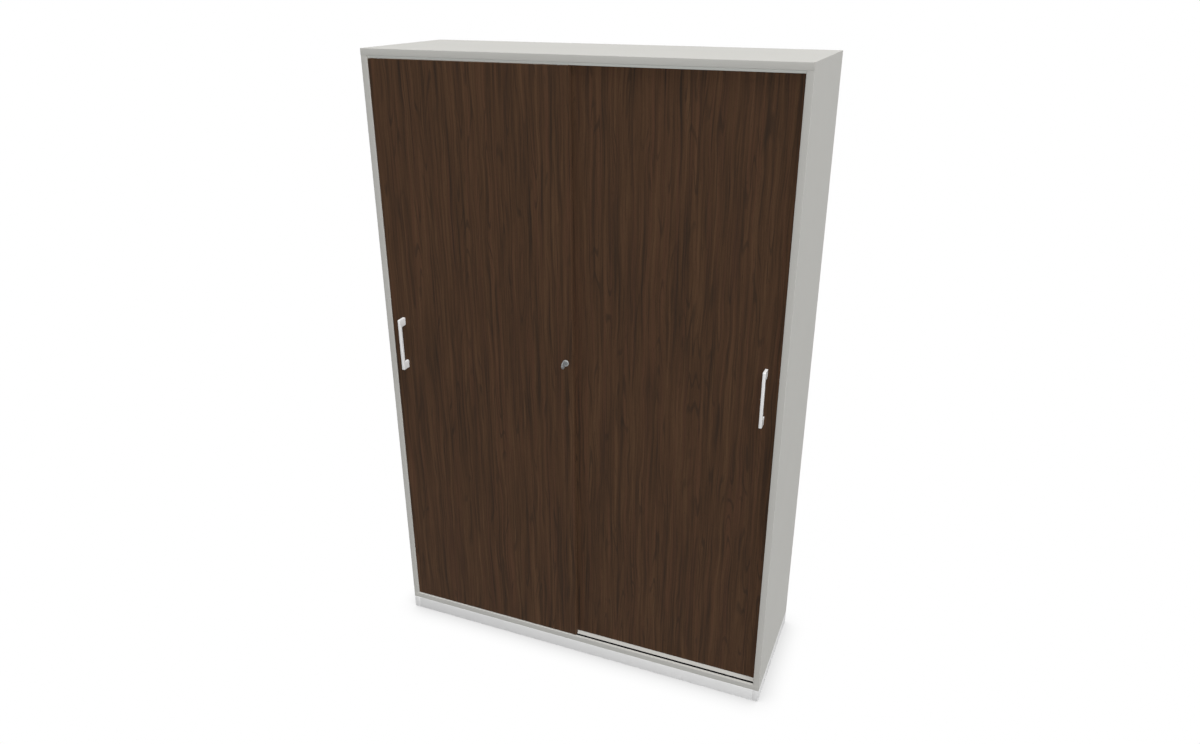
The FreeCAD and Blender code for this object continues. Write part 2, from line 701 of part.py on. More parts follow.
for label, door in (("front", "left"), ("rear", "right")):
    channel(
        f"{label}_track", door, f"({FLOOR_BOARD_TOP} - track_depth)",
        "track_width", "track_depth", "track_slot", "track_floor", opens_up=True,
    )
    channel(
        f"{label}_guide_rail", door, f"({TOP_BOARD_BOTTOM} - guide_drop)",
        "guide_width", "(guide_sink + guide_drop)", "(guide_width - 2 * guide_wall)",
        "guide_wall", opens_up=False,
    )
track_stops()


# Doors ---------------------------------------------------------------------------------------
# A door's pieces are drawn from its lower left front corner, looking at its face.

PEG_SLOT = "(peg_size + 2 * peg_play)"
HANDLE_X = {"left": "handle_inset", "right": f"({DOOR_WIDTH} - handle_inset)"}
HANDLE_SCREW_HEIGHTS = [f"(handle_height {sign} handle_pitch / 2)" for sign in "+-"]
KEEPER_BOTTOM = "(lock_height - keeper_top - keeper_height)"
KEEPER_TOP = "(lock_height - keeper_top)"
KEEPER_SCREW_PLACES = [
    ("(keeper_edge + keeper_width / 2)", f"({KEEPER_BOTTOM} + keeper_screw_inset)"),
    ("(keeper_edge + keeper_width / 2)", f"({KEEPER_TOP} - keeper_screw_inset)"),
]


def place_on_door(piece, door, x="0", y="0", z="0"):
    place(
        piece, f"({DOOR_LEFT[door]} + {x})", f"({DOOR_FACE[door]} + {y})", f"({DOOR_BOTTOM} + {z})"
    )


def mortises(piece, places, edge, inwards, length, width, depth):
    """Rectangular pockets in a door's top or bottom edge, with play round what they hold."""
    pockets = new_sketch(piece, "XY", edge)
    wide, deep = f"({length} + 2 * mortise_play)", f"({width} + 2 * mortise_play)"
    for x in places:
        rectangle(pockets, f"({x} - {wide} / 2)", f"({DOOR_MIDDLE} - {deep} / 2)", wide, deep)
    pocket(piece, pockets, f"({depth} + mortise_play)", inwards)


def hardware_cuts(piece):
    """Room for the roller carriers below and for the housings of the guide pins above."""
    mortises(
        piece, WHEEL_PLACES, "0", "+", "carrier_length", "carrier_width", "carrier_height"
    )
    mortises(
        piece, PIN_PLACES, DOOR_HEIGHT, "-", "housing_length", "housing_width", "housing_depth"
    )


def peg_slots(piece, face, depth, towards):
    """Upright slots in which the finger pegs of the guide pins travel."""
    slots = new_sketch(piece, "XZ", face)
    bottom = f"({DOOR_HEIGHT} - peg_drop - pin_reach - {PEG_SLOT} / 2)"
    for x in PIN_PLACES:
        rectangle(slots, f"({x} - {PEG_SLOT} / 2)", bottom, PEG_SLOT, f"(pin_reach + {PEG_SLOT})")
    pocket(piece, slots, depth, towards)


def keeper_pilots(piece):
    """Holes for the keeper's screws in the left edge of the inner door."""
    pilots = new_sketch(piece, "YZ")
    for y, z in KEEPER_SCREW_PLACES:
        hexagon(pilots, y, z, "(screw_shank + hole_play)")
    pocket(piece, pilots, "(screw_length - keeper_thickness + hole_end_play)", "+")


def door_panel(door):
    piece = body(f"{door}_door_panel")
    outline = new_sketch(piece, "XZ")
    rectangle(
        outline, "band_thickness", "band_thickness",
        f"({DOOR_WIDTH} - 2 * band_thickness)", f"({DOOR_HEIGHT} - 2 * band_thickness)",
    )
    pad(piece, outline, "door_thickness")
    hardware_cuts(piece)
    peg_slots(piece, "door_thickness", DOOR_MIDDLE, "-")
    holes = new_sketch(piece, "XZ")
    for height in HANDLE_SCREW_HEIGHTS:
        hexagon(holes, HANDLE_X[door], height, "(handle_screw + hole_play)")
    if door == "left":
        circle(holes, LOCK_X, "lock_height", "(barrel_diameter + hole_play)")
    pocket(piece, holes, "door_thickness", "+")
    if door == "right":
        keeper_pilots(piece)
    place_on_door(piece, door)


def door_edge_bands(door):
    """Four strips round the edges of a door, with a fine joint at each corner."""
    piece = body(f"{door}_door_edge_bands", several=True)
    strips = new_sketch(piece, "XZ")
    for x in ("0", f"({DOOR_WIDTH} - band_thickness)"):
        rectangle(strips, x, "0", "band_thickness", DOOR_HEIGHT)
    inset = "(band_thickness + band_joint)"
    for z in ("0", f"({DOOR_HEIGHT} - band_thickness)"):
        rectangle(strips, inset, z, f"({DOOR_WIDTH} - 2 * {inset})", "band_thickness")
    pad(piece, strips, "door_thickness")
    hardware_cuts(piece)
    if door == "right":
        keeper_pilots(piece)
    place_on_door(piece, door)


def roller_carriers(door):
    """Blocks in the door's bottom edge, open below for a wheel and for its axle."""
    piece = body(f"{door}_roller_carriers", several=True)
    front = "((door_thickness - carrier_width) / 2)"
    blocks = new_sketch(piece, "XZ", front)
    slots = new_sketch(piece, "XY")
    seats = new_sketch(piece, "XZ", front)
    room = f"({WHEEL_RADIUS} + wheel_room)"
    for x in WHEEL_PLACES:
        rectangle(blocks, f"({x} - carrier_length / 2)", "0", "carrier_length", "carrier_height")
        rectangle(
            slots, f"({x} - {room})", f"({DOOR_MIDDLE} - track_slot / 2)",
            f"(2 * {room})", "track_slot",
        )
        arch(seats, x, "0", WHEEL_RISE, "(axle_diameter + running_play)")
    pad(piece, blocks, "carrier_width")
    pocket(piece, slots, f"({WHEEL_RISE} + {room})", "+")
    pocket(piece, seats, "carrier_width", "+")
    place_on_door(piece, door)


def roller_axles(door):
    piece = body(f"{door}_roller_axles", several=True)
    ends = new_sketch(piece, "XZ", "((door_thickness - carrier_width) / 2)")
    for x in WHEEL_PLACES:
        circle(ends, x, WHEEL_RISE, "axle_diameter")
    pad(piece, ends, "carrier_width")
    place_on_door(piece, door)


def wheel(label, door, x):
    """A flat door wheel, bored for its axle."""
    piece = body(label)
    outline = new_sketch(piece, "XZ", "(-wheel_width / 2)")
    circle(outline, "0", "0", "wheel_diameter")
    circle(outline, "0", "0", "(axle_diameter + 2 * running_play)")
    pad(piece, outline, "wheel_width")
    place_on_door(piece, door, x, DOOR_MIDDLE, WHEEL_RISE)


def guide_housings(door):
    """Closed housings in the door's top edge that hold the guide pins and their springs."""
    piece = body(f"{door}_guide_housings", several=True)
    outside = new_sketch(piece, "XY", f"({DOOR_HEIGHT} - housing_depth)")
    inside = new_sketch(piece, "XY", DOOR_HEIGHT)
    for x in PIN_PLACES:
        rectangle(
            outside, f"({x} - housing_length / 2)", f"({DOOR_MIDDLE} - housing_width / 2)",
            "housing_length", "housing_width",
        )
        circle(inside, x, DOOR_MIDDLE, "(pin_diameter + 2 * pin_play)")
    pad(piece, outside, "housing_depth")
    pocket(piece, inside, "(housing_depth - housing_floor)", "-")
    peg_slots(piece, DOOR_MIDDLE, "(housing_width / 2)", "+")
    place_on_door(piece, door)


def guide_pin(label, door, x):
    """A sprung pin with a square peg that a finger pulls down from the back."""
    piece = body(label)
    outline = new_sketch(piece, "XY", "-pin_tail")
    circle(outline, "0", "0", "pin_diameter")
    pad(piece, outline, "(pin_tail + pin_reach)")
    peg = new_sketch(piece, "XZ")
    rectangle(peg, "-peg_size / 2", "(-peg_drop - peg_size / 2)", "peg_size", "peg_size")
    pad(piece, peg, f"({DOOR_MIDDLE} + peg_reach)")
    place_on_door(piece, door, x, DOOR_MIDDLE, DOOR_HEIGHT)


def handle(door):
    """A bow handle: a flat bar on two deep feet, with all its long edges bevelled."""
    piece = body(f"{door}_handle")
    top = "(handle_length / 2)"
    foot = f"({top} - handle_foot)"
    bar_back = "(-handle_projection + handle_bar)"
    section = new_sketch(piece, "YZ", "(-handle_width / 2)")
    polygon(section, [
        ("0", top),
        ("-handle_projection", top),
        ("-handle_projection", f"-{top}"),
        ("0", f"-{top}"),
        ("0", f"-{foot}"),
        (bar_back, f"-{foot}"),
        (bar_back, foot),
        ("0", foot),
    ])
    bow = pad(piece, section, "handle_width")
    for radius, depth in (("handle_corner", "-handle_projection"), ("handle_crook", bar_back)):
        y = number(depth)
        bow = soften(
            piece, "Fillet", bow, radius, lambda edge, at: along(edge, 0) and abs(at.y - y) < NEAR
        )
    side_face = number("handle_width") / 2
    soften(
        piece, "Chamfer", bow, "handle_bevel",
        lambda edge, at: abs(abs(at.x) - side_face) < NEAR < -at.y,
    )
    holes = new_sketch(piece, "XZ")
    for sign in ("", "-"):
        hexagon(holes, "0", f"{sign}handle_pitch / 2", "(handle_screw + hole_play)")
    pocket(piece, holes, "(handle_screw_bite + hole_end_play)", "-")
    place_on_door(piece, door, HANDLE_X[door], "0", "handle_height")


def screws(piece, plane, places, seat, head_side, head, shank):
    """Hexagon head screws through a plane: head and shank each give a width and a length."""
    heads = new_sketch(piece, plane, seat)
    shanks = new_sketch(piece, plane, seat)
    for place_in_plane in places:
        hexagon(heads, *place_in_plane, head[0])
        hexagon(shanks, *place_in_plane, shank[0])
    pad(piece, heads, head[1], head_side)
    pad(piece, shanks, shank[1], "-" if head_side == "+" else "+")


def handle_screws(door):
    """Two screws through the door from the back into the feet of the handle."""
    piece = body(f"{door}_handle_screws", several=True)
    places = [(HANDLE_X[door], height) for height in HANDLE_SCREW_HEIGHTS]
    screws(
        piece, "XZ", places, "door_thickness", "+", ("handle_screw_head", "handle_head_height"),
        ("handle_screw", "(door_thickness + handle_screw_bite)"),
    )
    place_on_door(piece, door)


# Lock ----------------------------------------------------------------------------------------
# The lock's pieces are drawn from the lock's centre on the face of the outer door.

def square(sketch, size):
    rectangle(sketch, f"-{size} / 2", f"-{size} / 2", size, size)


def lock_cylinder():
    """Rosette and barrel in one, with a seat for the shoulder of the plug."""
    piece = body("lock_cylinder")
    seat = f"({PLUG_FACE} + shoulder_depth + plug_end_play)"
    bore = "(plug_diameter / 2 + running_play)"
    counterbore = "(plug_shoulder / 2 + running_play)"
    profile = new_sketch(piece, "XY")
    polygon(profile, [
        (bore, BARREL_BACK),
        (bore, seat),
        (counterbore, seat),
        (counterbore, "-rosette_height"),
        ("rosette_diameter / 2", "-rosette_height"),
        ("rosette_diameter / 2", "0"),
        ("barrel_diameter / 2", "0"),
        ("barrel_diameter / 2", BARREL_BACK),
    ])
    revolve(piece, profile)
    place_on_door(piece, "left", LOCK_X, "0", "lock_height")


def lock_nut():
    """Flat hexagon nut that clamps the barrel to the door from behind."""
    piece = body("lock_nut")
    outline = new_sketch(piece, "XZ")
    hexagon(outline, "0", "0", "nut_size")
    circle(outline, "0", "0", "(barrel_diameter + hole_play)")
    pad(piece, outline, "nut_thickness")
    place_on_door(piece, "left", LOCK_X, "door_thickness", "lock_height")


def lock_plug():
    """The turning plug: shoulder, keyway, and a square tenon for the cam."""
    piece = body("lock_plug")
    profile = new_sketch(piece, "XY")
    polygon(profile, [
        ("0", PLUG_FACE),
        ("plug_shoulder / 2", PLUG_FACE),
        ("plug_shoulder / 2", f"({PLUG_FACE} + shoulder_depth)"),
        ("plug_diameter / 2", f"({PLUG_FACE} + shoulder_depth)"),
        ("plug_diameter / 2", CAM_FRONT),
        ("0", CAM_FRONT),
    ])
    revolve(piece, profile)
    tenon = new_sketch(piece, "XZ", CAM_FRONT)
    square(tenon, "tenon_size")
    pad(piece, tenon, "lock_cam_thickness")
    keyway = new_sketch(piece, "XZ", PLUG_FACE)
    rectangle(
        keyway, "-keyway_width / 2", "-keyway_height / 2", "keyway_width", "keyway_height"
    )
    pocket(piece, keyway, "keyway_depth", "+")
    thread = new_sketch(piece, "XZ", CAM_BACK)
    hexagon(thread, "0", "0", "(cam_screw_diameter + hole_play)")
    pocket(piece, thread, "(cam_screw_length + hole_end_play)", "-")
    place_on_door(piece, "left", LOCK_X, "0", "lock_height")


def lock_cam():
    """Flat cam with a toe; it points away from the keeper until the key is turned."""
    piece = body("lock_cam")
    outline = new_sketch(piece, "XZ", CAM_FRONT)
    half = "lock_cam_width / 2"
    toe_start = "(lock_cam_toe_width - lock_cam_reach)"
    polygon(outline, [
        (half, half),
        ("-lock_cam_reach", half),
        ("-lock_cam_reach", "-lock_cam_toe"),
        (toe_start, "-lock_cam_toe"),
        (toe_start, f"-{half}"),
        (half, f"-{half}"),
    ])
    square(outline, "(tenon_size + hole_play)")
    blank = pad(piece, outline, "lock_cam_thickness")
    inner = number("tenon_size") / 2 + number("hole_play")
    soften(
        piece, "Fillet", blank, "lock_cam_round",
        lambda edge, at: along(edge, 1)
        and max(abs(at.x), abs(at.z)) > inner
        and (at - Vector(number(toe_start), at.y, -number(half))).Length > NEAR,
    )
    place_on_door(piece, "left", LOCK_X, "0", "lock_height")


def lock_cam_screw():
    piece = body("lock_cam_screw")
    screws(
        piece, "XZ", [("0", "0")], CAM_BACK, "+", ("cam_screw_head", "cam_screw_head_height"),
        ("cam_screw_diameter", "cam_screw_length"),
    )
    place_on_door(piece, "left", LOCK_X, "0", "lock_height")


def lock_key():
    """Flat key with a round bow and cuts in its blade."""
    piece = body("lock_key")
    bow_centre = "-(rosette_height + key_bow_centre)"
    bow = new_sketch(piece, "YZ", "(-key_thickness / 2)")
    circle(bow, bow_centre, "0", "key_bow_diameter")
    pad(piece, bow, "key_thickness")

    shoulder = f"({PLUG_FACE} - key_shoulder_play)"
    tip = f"({PLUG_FACE} + key_blade_length)"
    neck = "key_neck_height / 2"
    edge = "key_blade_height / 2"
    lower_edge = []
    for i in range(1, round(number("key_cuts")) + 1):
        middle = f"({shoulder} + {i} * key_blade_length / (key_cuts + 1))"
        lower_edge += [
            (f"({middle} - key_cut)", f"-{edge}"),
            (middle, f"(key_cut - {edge})"),
            (f"({middle} + key_cut)", f"-{edge}"),
        ]
    blade = new_sketch(piece, "YZ", "(-key_thickness / 2)")
    polygon(blade, [
        (bow_centre, neck),
        (bow_centre, f"-{neck}"),
        (shoulder, f"-{neck}"),
        (shoulder, f"-{edge}"),
        *lower_edge,
        (f"({tip} - key_cut)", f"-{edge}"),
        (tip, f"(key_cut - {edge})"),
        (tip, f"({edge} - key_cut)"),
        (f"({tip} - key_cut)", edge),
        (shoulder, edge),
        (shoulder, neck),
    ])
    pad(piece, blade, "key_thickness")
    ring_hole = new_sketch(piece, "YZ", "(-key_thickness / 2)")
    circle(ring_hole, f"({bow_centre} - key_hole_offset)", "0", "key_hole_diameter")
    pocket(piece, ring_hole, "key_thickness", "+")
    place_on_door(piece, "left", LOCK_X, "0", "lock_height")


def lock_keeper():
    """Flat plate on the edge of the inner door with a lug that the cam's toe catches."""
    piece = body("lock_keeper")
    lug_top = "(lock_height - keeper_lug_top)"
    lug_bottom = f"({lug_top} - keeper_lug_height)"
    plate = new_sketch(piece, "YZ")
    polygon(plate, [
        ("keeper_edge", KEEPER_TOP),
        ("(keeper_edge + keeper_width)", KEEPER_TOP),
        ("(keeper_edge + keeper_width)", KEEPER_BOTTOM),
        ("keeper_edge", KEEPER_BOTTOM),
        ("keeper_edge", lug_bottom),
        ("-keeper_lug_reach", lug_bottom),
        ("-keeper_lug_reach", lug_top),
        ("keeper_edge", lug_top),
    ])
    for y, z in KEEPER_SCREW_PLACES:
        hexagon(plate, y, z, "(screw_shank + hole_play)")
    pad(piece, plate, "keeper_thickness", "-")
    place_on_door(piece, "right")


def lock_keeper_screws():
    piece = body("lock_keeper_screws", several=True)
    screws(
        piece, "YZ", KEEPER_SCREW_PLACES, "-keeper_thickness", "-",
        ("screw_head", "screw_head_height"), ("screw_shank", "screw_length"),
    )
    place_on_door(piece, "right")


for door in ("left", "right"):
    door_panel(door)
    door_edge_bands(door)
    roller_carriers(door)
    roller_axles(door)
    guide_housings(door)
    handle(door)
    handle_screws(door)
    for end, wheel_x, pin_x in zip(("left", "right"), WHEEL_PLACES, PIN_PLACES):
        wheel(f"{door}_door_wheel_{end}", door, wheel_x)
        guide_pin(f"{door}_door_pin_{end}", door, pin_x)

lock_cylinder()
lock_nut()
lock_plug()
lock_cam()
lock_cam_screw()
lock_key()
lock_keeper()
lock_keeper_screws()


# Checks and export ---------------------------------------------------------------------------

doc.recompute()
for item in doc.Objects:
    if {"Invalid", "Error"} & set(item.State):
        raise RuntimeError(f"{item.Label} failed: {item.State}")

os.makedirs("parts", exist_ok=True)
for piece in doc.findObjects("PartDesign::Body"):
    if piece.Shape.isNull() or not piece.Shape.isValid():
        raise RuntimeError(f"{piece.Label} has no valid shape")
    piece.Shape.exportStep(f"parts/{piece.Label}.step")
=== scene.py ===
import math

import bmesh
import bpy
import numpy as np
from bpy.props import FloatProperty, FloatVectorProperty, IntProperty, PointerProperty
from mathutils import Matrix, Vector


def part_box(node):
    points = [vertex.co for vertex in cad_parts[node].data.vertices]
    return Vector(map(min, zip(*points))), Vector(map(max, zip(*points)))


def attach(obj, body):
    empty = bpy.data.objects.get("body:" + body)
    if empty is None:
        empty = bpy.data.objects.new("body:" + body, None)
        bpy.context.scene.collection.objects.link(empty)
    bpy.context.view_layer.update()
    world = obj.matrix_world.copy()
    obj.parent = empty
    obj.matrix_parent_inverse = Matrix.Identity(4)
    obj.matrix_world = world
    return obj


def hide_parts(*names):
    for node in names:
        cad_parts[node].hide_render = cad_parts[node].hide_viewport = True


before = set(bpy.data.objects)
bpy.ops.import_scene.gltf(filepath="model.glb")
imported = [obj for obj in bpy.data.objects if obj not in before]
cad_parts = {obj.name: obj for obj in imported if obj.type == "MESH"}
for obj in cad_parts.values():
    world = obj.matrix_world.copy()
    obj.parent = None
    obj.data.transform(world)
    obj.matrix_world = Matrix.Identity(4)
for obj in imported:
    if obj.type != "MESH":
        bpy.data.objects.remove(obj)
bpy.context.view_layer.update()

bl_info = {
    "name": "Sliding Door Cabinet",
    "version": (1, 0, 0),
    "blender": (4, 5, 0),
    "location": "View3D > Sidebar > Cabinet",
    "description": "Finishes, edge bands, handles, lock and fittings of a sliding door cabinet",
    "category": "Object",
}

X, Y, Z = range(3)
DOORS = ("left", "right")
ENDS = ("left", "right")
SHELVES = [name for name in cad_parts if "_shelf_" in name]
HEXAGON = math.cos(math.pi / 6)  # width across the flats / width across the corners
CAM_SHANK = 0.30  # radius of the cam screw's shank / radius of its head
CAM_CORE = 0.28  # radius of the hole for its thread / radius of its head
SMOOTH_BELOW = math.radians(35)  # faces that meet at less than this are shaded as one
WELD = 1e-7  # points nearer than this are one
TINY = 1e-9  # keeps a division off zero


# Settings ------------------------------------------------------------------------------------

def length(name, description, default):
    """A distance in metres."""
    return FloatProperty(
        name=name, description=description, default=default, min=0, unit="LENGTH",
        subtype="DISTANCE", precision=5,
    )


def share(name, description, default):
    """A part of one."""
    return FloatProperty(
        name=name, description=description, default=default, min=0, max=1, subtype="FACTOR"
    )


def colour(name, description, default):
    """A colour in linear light."""
    return FloatVectorProperty(
        name=name, description=description, default=default, size=3, min=0, max=1,
        subtype="COLOR",
    )


def degrees(name, description, default):
    """An angle, with its default in degrees."""
    return FloatProperty(
        name=name, description=description, default=math.radians(default), subtype="ANGLE"
    )


def amount(name, description, default):
    """A number that isn't negative."""
    return FloatProperty(name=name, description=description, default=default, min=0)


class BoardSettings(bpy.types.PropertyGroup):
    """Melamine boards and their edge bands."""

    board: colour("Board", "Light grey melamine", (0.562, 0.556, 0.527))
    back: colour("Back Panel", "Melamine of the back panel", (0.58, 0.575, 0.55))
    band: colour("Band", "Plastic edge band of the carcass", (0.562, 0.556, 0.527))
    plinth: colour("Plinth", "Melamine of the plinth", (0.87, 0.87, 0.87))
    bare_wood: colour("Bare Wood", "Beech dowels and glue blocks", (0.52, 0.36, 0.21))
    band_round: length("Band Round", "Radius of the bands' outer edges", 0.0008)
    plinth_round: length("Plinth Round", "Radius of the plinth's edges", 0.0008)
    gloss: share("Gloss", "Specular level of melamine", 0.2)
    roughness: share("Roughness", "Roughness of melamine", 0.6)


class WalnutSettings(bpy.types.PropertyGroup):
    """Walnut decor of the doors."""

    dark: colour("Dark", "Late wood", (0.0340, 0.0224, 0.0158))
    middle: colour("Middle", "Body colour", (0.0718, 0.0386, 0.0220))
    light: colour("Light", "Early wood", (0.1060, 0.0580, 0.0316))
    warm: colour("Warm", "Reddish streaks", (0.1045, 0.0503, 0.0300))
    streak_width: length("Streak Width", "Typical width of a streak", 0.012)
    streak_length: length("Streak Length", "Typical length of a streak", 0.32)
    band_lift: share("Band Lift", "How far the edge band leans to the light tone", 0.2)
    gloss: share("Gloss", "Specular level of the decor", 0.05)
    edge: length("Edge", "Radius of the door's edges", 0.0008)


class HandleSettings(bpy.types.PropertyGroup):
    """White bow handles."""

    lacquer: colour("Lacquer", "White lacquer", (0.90, 0.90, 0.90))
    foot: length("Foot", "Height of a foot", 0.024)
    bar: length("Bar", "Depth of the bar", 0.009)
    corner: length("Corner", "Radius of the outer corners", 0.003)
    crook: length("Crook", "Radius of the inner corners", 0.0025)
    edge: length("Edge", "Radius of the long edges", 0.0012)
    roughness: share("Roughness", "Roughness of the lacquer", 0.22)


class LockSettings(bpy.types.PropertyGroup):
    """Cylinder lock and its key."""

    rosette: colour("Rosette", "Nickel plated front", (0.34, 0.35, 0.35))
    plug: colour("Plug", "Turning plug", (0.25, 0.257, 0.26))
    key: colour("Key", "Nickel silver key", (0.32, 0.337, 0.345))
    satin: share("Satin", "How metallic the brushed surfaces look", 0.35)
    barrel: length("Barrel", "Radius of the threaded barrel", 0.008)
    pitch: length("Pitch", "Pitch of the barrel's thread", 0.001)
    plug_body: length("Plug Body", "Radius of the plug behind its shoulder", 0.0057)
    shoulder: length("Shoulder", "Depth of the plug's shoulder", 0.0016)
    keyway_width: length("Keyway Width", "Width of the keyway", 0.0024)
    keyway_height: length("Keyway Height", "Height of the keyway", 0.0076)
    keyway_depth: length("Keyway Depth", "Depth of the keyway", 0.014)
    tenon: length("Tenon", "Side of the square that carries the cam", 0.0065)
    key_hole: length("Key Hole", "Radius of the ring hole", 0.0025)
    key_hole_offset: length("Key Hole Offset", "Ring hole from the bow's centre", 0.0055)
    key_neck: length("Key Neck", "Height of the neck", 0.0095)
    key_blade: length("Key Blade", "Height of the blade", 0.007)
    key_cut: length("Key Cut", "Depth of the cuts in the blade", 0.0016)
    key_cuts: IntProperty(name="Key Cuts", description="Cuts in the blade", default=3, min=1)
    key_gap: length("Key Gap", "Shoulder of the key to the plug's face", 0.0003)
    play: length("Play", "Gap round the plug, and between barrel and nut", 0.00005)
    edge: length("Edge", "Radius of the metal's edges", 0.0003)


class FittingSettings(bpy.types.PropertyGroup):
    """Wheels, guide pins, shelf pins and screws."""

    steel: colour("Steel", "Zinc plated steel", (0.50, 0.51, 0.52))
    black: colour("Black", "Moulded black plastic", (0.006, 0.006, 0.006))
    rail: colour("Rail", "Moulded light grey guide rails", (0.60, 0.615, 0.585))
    wheel: colour("Wheel", "Moulded wheels", (0.72, 0.71, 0.67))
    rubber: colour("Rubber", "Stops in the tracks", (0.02, 0.02, 0.02))
    wheel_bore: length("Wheel Bore", "Radius of a wheel's bore", 0.0021)
    tread_round: length("Tread Round", "Radius of the tread's edges", 0.0013)
    web_recess: length("Web Recess", "How far a wheel's web lies back", 0.0005)
    pin_dome: length("Pin Dome", "Height of a guide pin's rounded tip", 0.0018)
    peg: length("Peg", "Side of a guide pin's finger peg", 0.004)
    peg_drop: length("Peg Drop", "Finger peg below the door's top edge", 0.018)
    carrier: length("Carrier", "Length of a roller carrier", 0.054)
    wheel_inset: length("Wheel Inset", "Wheel in from the door's edge", 0.040)
    housing: length("Housing", "Length of a guide housing", 0.022)
    pin_inset: length("Pin Inset", "Guide pin in from the door's edge", 0.030)
    mortise: length("Mortise", "Half the width of the cut-outs in the edges", 0.0061)
    mortise_play: length("Mortise Play", "Gap round carriers and housings", 0.0001)
    shelf_pin: length("Shelf Pin", "Radius of a shelf pin", 0.0025)
    shelf_pin_reach: length("Shelf Pin Reach", "Shelf pin out of the board", 0.008)
    shelf_pin_seat: length("Shelf Pin Seat", "Shelf pin inside the board", 0.0075)


class StageSettings(bpy.types.PropertyGroup):
    """Camera, lamps and floor."""

    camera_place: FloatVectorProperty(
        name="Camera Place", description="Where the camera stands", size=3,
        subtype="TRANSLATION", unit="LENGTH", default=(0.95065, -2.28658, 1.98448),
    )
    camera_turn: FloatVectorProperty(
        name="Camera Turn", description="Tilt, roll and heading of the camera", size=3,
        subtype="EULER", unit="ROTATION",
        default=(math.radians(66.439), 0, math.radians(22.318)),
    )
    camera_lens: amount("Lens", "Focal length in millimetres", 26.94)
    key_height: degrees("Key Height", "Height of the key light over the floor", 51.7)
    key_side: degrees("Key Side", "Key light turned from the front to the right", 45.9)
    key_strength: amount("Key Strength", "Light of the key light on the object", 3.86)
    key_shadow: share("Key Shadow", "Part of the key light that casts shadows", 0.25)
    back_height: degrees("Back Height", "Height of the back light over the floor", 1)
    back_side: degrees("Back Side", "Back light turned from the front to the right", 225)
    back_strength: amount("Back Strength", "Light of the back light on the object", 2.7)
    softness: degrees("Softness", "Angular size of the lamps", 35)
    lamp_distance: length("Lamp Distance", "Lamps to the object; near ones fade downwards", 30)
    lamp_aim: length("Lamp Aim", "Height over the floor that the lamps point at", 0.9)
    sky_strength: amount("Sky Strength", "Light from all round", 0.13)
    floor: colour("Floor", "How much light the floor throws back", (0.30, 0.30, 0.30))
    floor_side: length("Floor Side", "Side of the square floor", 24)
    contact_reach: length("Contact Reach", "Width of the contact shadow", 0.08)
    contact_depth: share("Contact Depth", "Strength of the contact shadow", 0.24)


SETTINGS = {
    "cabinet_boards": BoardSettings,
    "cabinet_walnut": WalnutSettings,
    "cabinet_handles": HandleSettings,
    "cabinet_lock": LockSettings,
    "cabinet_fittings": FittingSettings,
    "cabinet_stage": StageSettings,
}


# Surfaces ------------------------------------------------------------------------------------

def skin(points, along=False):
    """Quads over a grid of points [row, column] whose last column joins the first; along joins
    the last row to the first."""
    rows, columns = points.shape[:2]
    index = np.arange(rows * columns).reshape(rows, columns)
    index = np.concatenate([index, index[:, :1]], axis=1)
    if along:
        index = np.concatenate([index, index[:1]], axis=0)
    corners = [index[:-1, :-1], index[:-1, 1:], index[1:, 1:], index[1:, :-1]]
    return points.reshape(-1, 3), np.stack(corners, axis=-1).reshape(-1, 4)


def capped(points):
    """The grid with both ends drawn together to the middle of their rows."""
    ends = [np.broadcast_to(row.mean(axis=0), row.shape)[None] for row in (points[0], points[-1])]
    return np.concatenate([ends[0], points, ends[1]])


def rounded(corners, radii, steps=6, closed=True):
    """Points and outward normals of a flat outline whose corners are arcs.

    At a corner with unit directions a and b to its neighbours and half angle h, the arc's centre
    is corner + (a + b) / |a + b| * r / sin(h), and its points are centre + r * (cos t * m + sin t
    * n), where m points from the centre to the corner and n across, for t from -(90 - h) to 90 - h
    degrees. An open outline keeps its two ends as they are. The outline runs clockwise, so that
    the left of its direction is outside."""
    corners = np.asarray(corners, float)
    radii = np.broadcast_to(np.asarray(radii, float), len(corners))[:, None]
    back = np.roll(corners, 1, axis=0) - corners
    ahead = np.roll(corners, -1, axis=0) - corners
    back /= np.linalg.norm(back, axis=1)[:, None]
    ahead /= np.linalg.norm(ahead, axis=1)[:, None]
    inward = back + ahead
    inward /= np.linalg.norm(inward, axis=1)[:, None]
    half = np.arccos(np.clip((inward * ahead).sum(axis=1), -1, 1))[:, None]
    centre = corners + inward * radii / np.sin(half)
    turn = np.sign(back[:, 0] * ahead[:, 1] - back[:, 1] * ahead[:, 0])[:, None]
    fan = np.linspace(-1, 1, steps + 1)[None] * (math.pi / 2 - half)
    out = -inward
    across = np.stack([-out[:, 1], out[:, 0]], axis=1) * -turn
    rays = np.cos(fan)[..., None] * out[:, None] + np.sin(fan)[..., None] * across[:, None]
    points = centre[:, None] + radii[..., None] * rays
    normals = rays * turn[..., None]
    if closed:
        return points.reshape(-1, 2), normals.reshape(-1, 2)
    first = np.array([-ahead[0, 1], ahead[0, 0]])
    last = np.array([back[-1, 1], -back[-1, 0]])
    points = np.concatenate([corners[:1], points[1:-1].reshape(-1, 2), corners[-1:]])
    normals = np.concatenate([first[None], normals[1:-1].reshape(-1, 2), last[None]])
    return points, normals


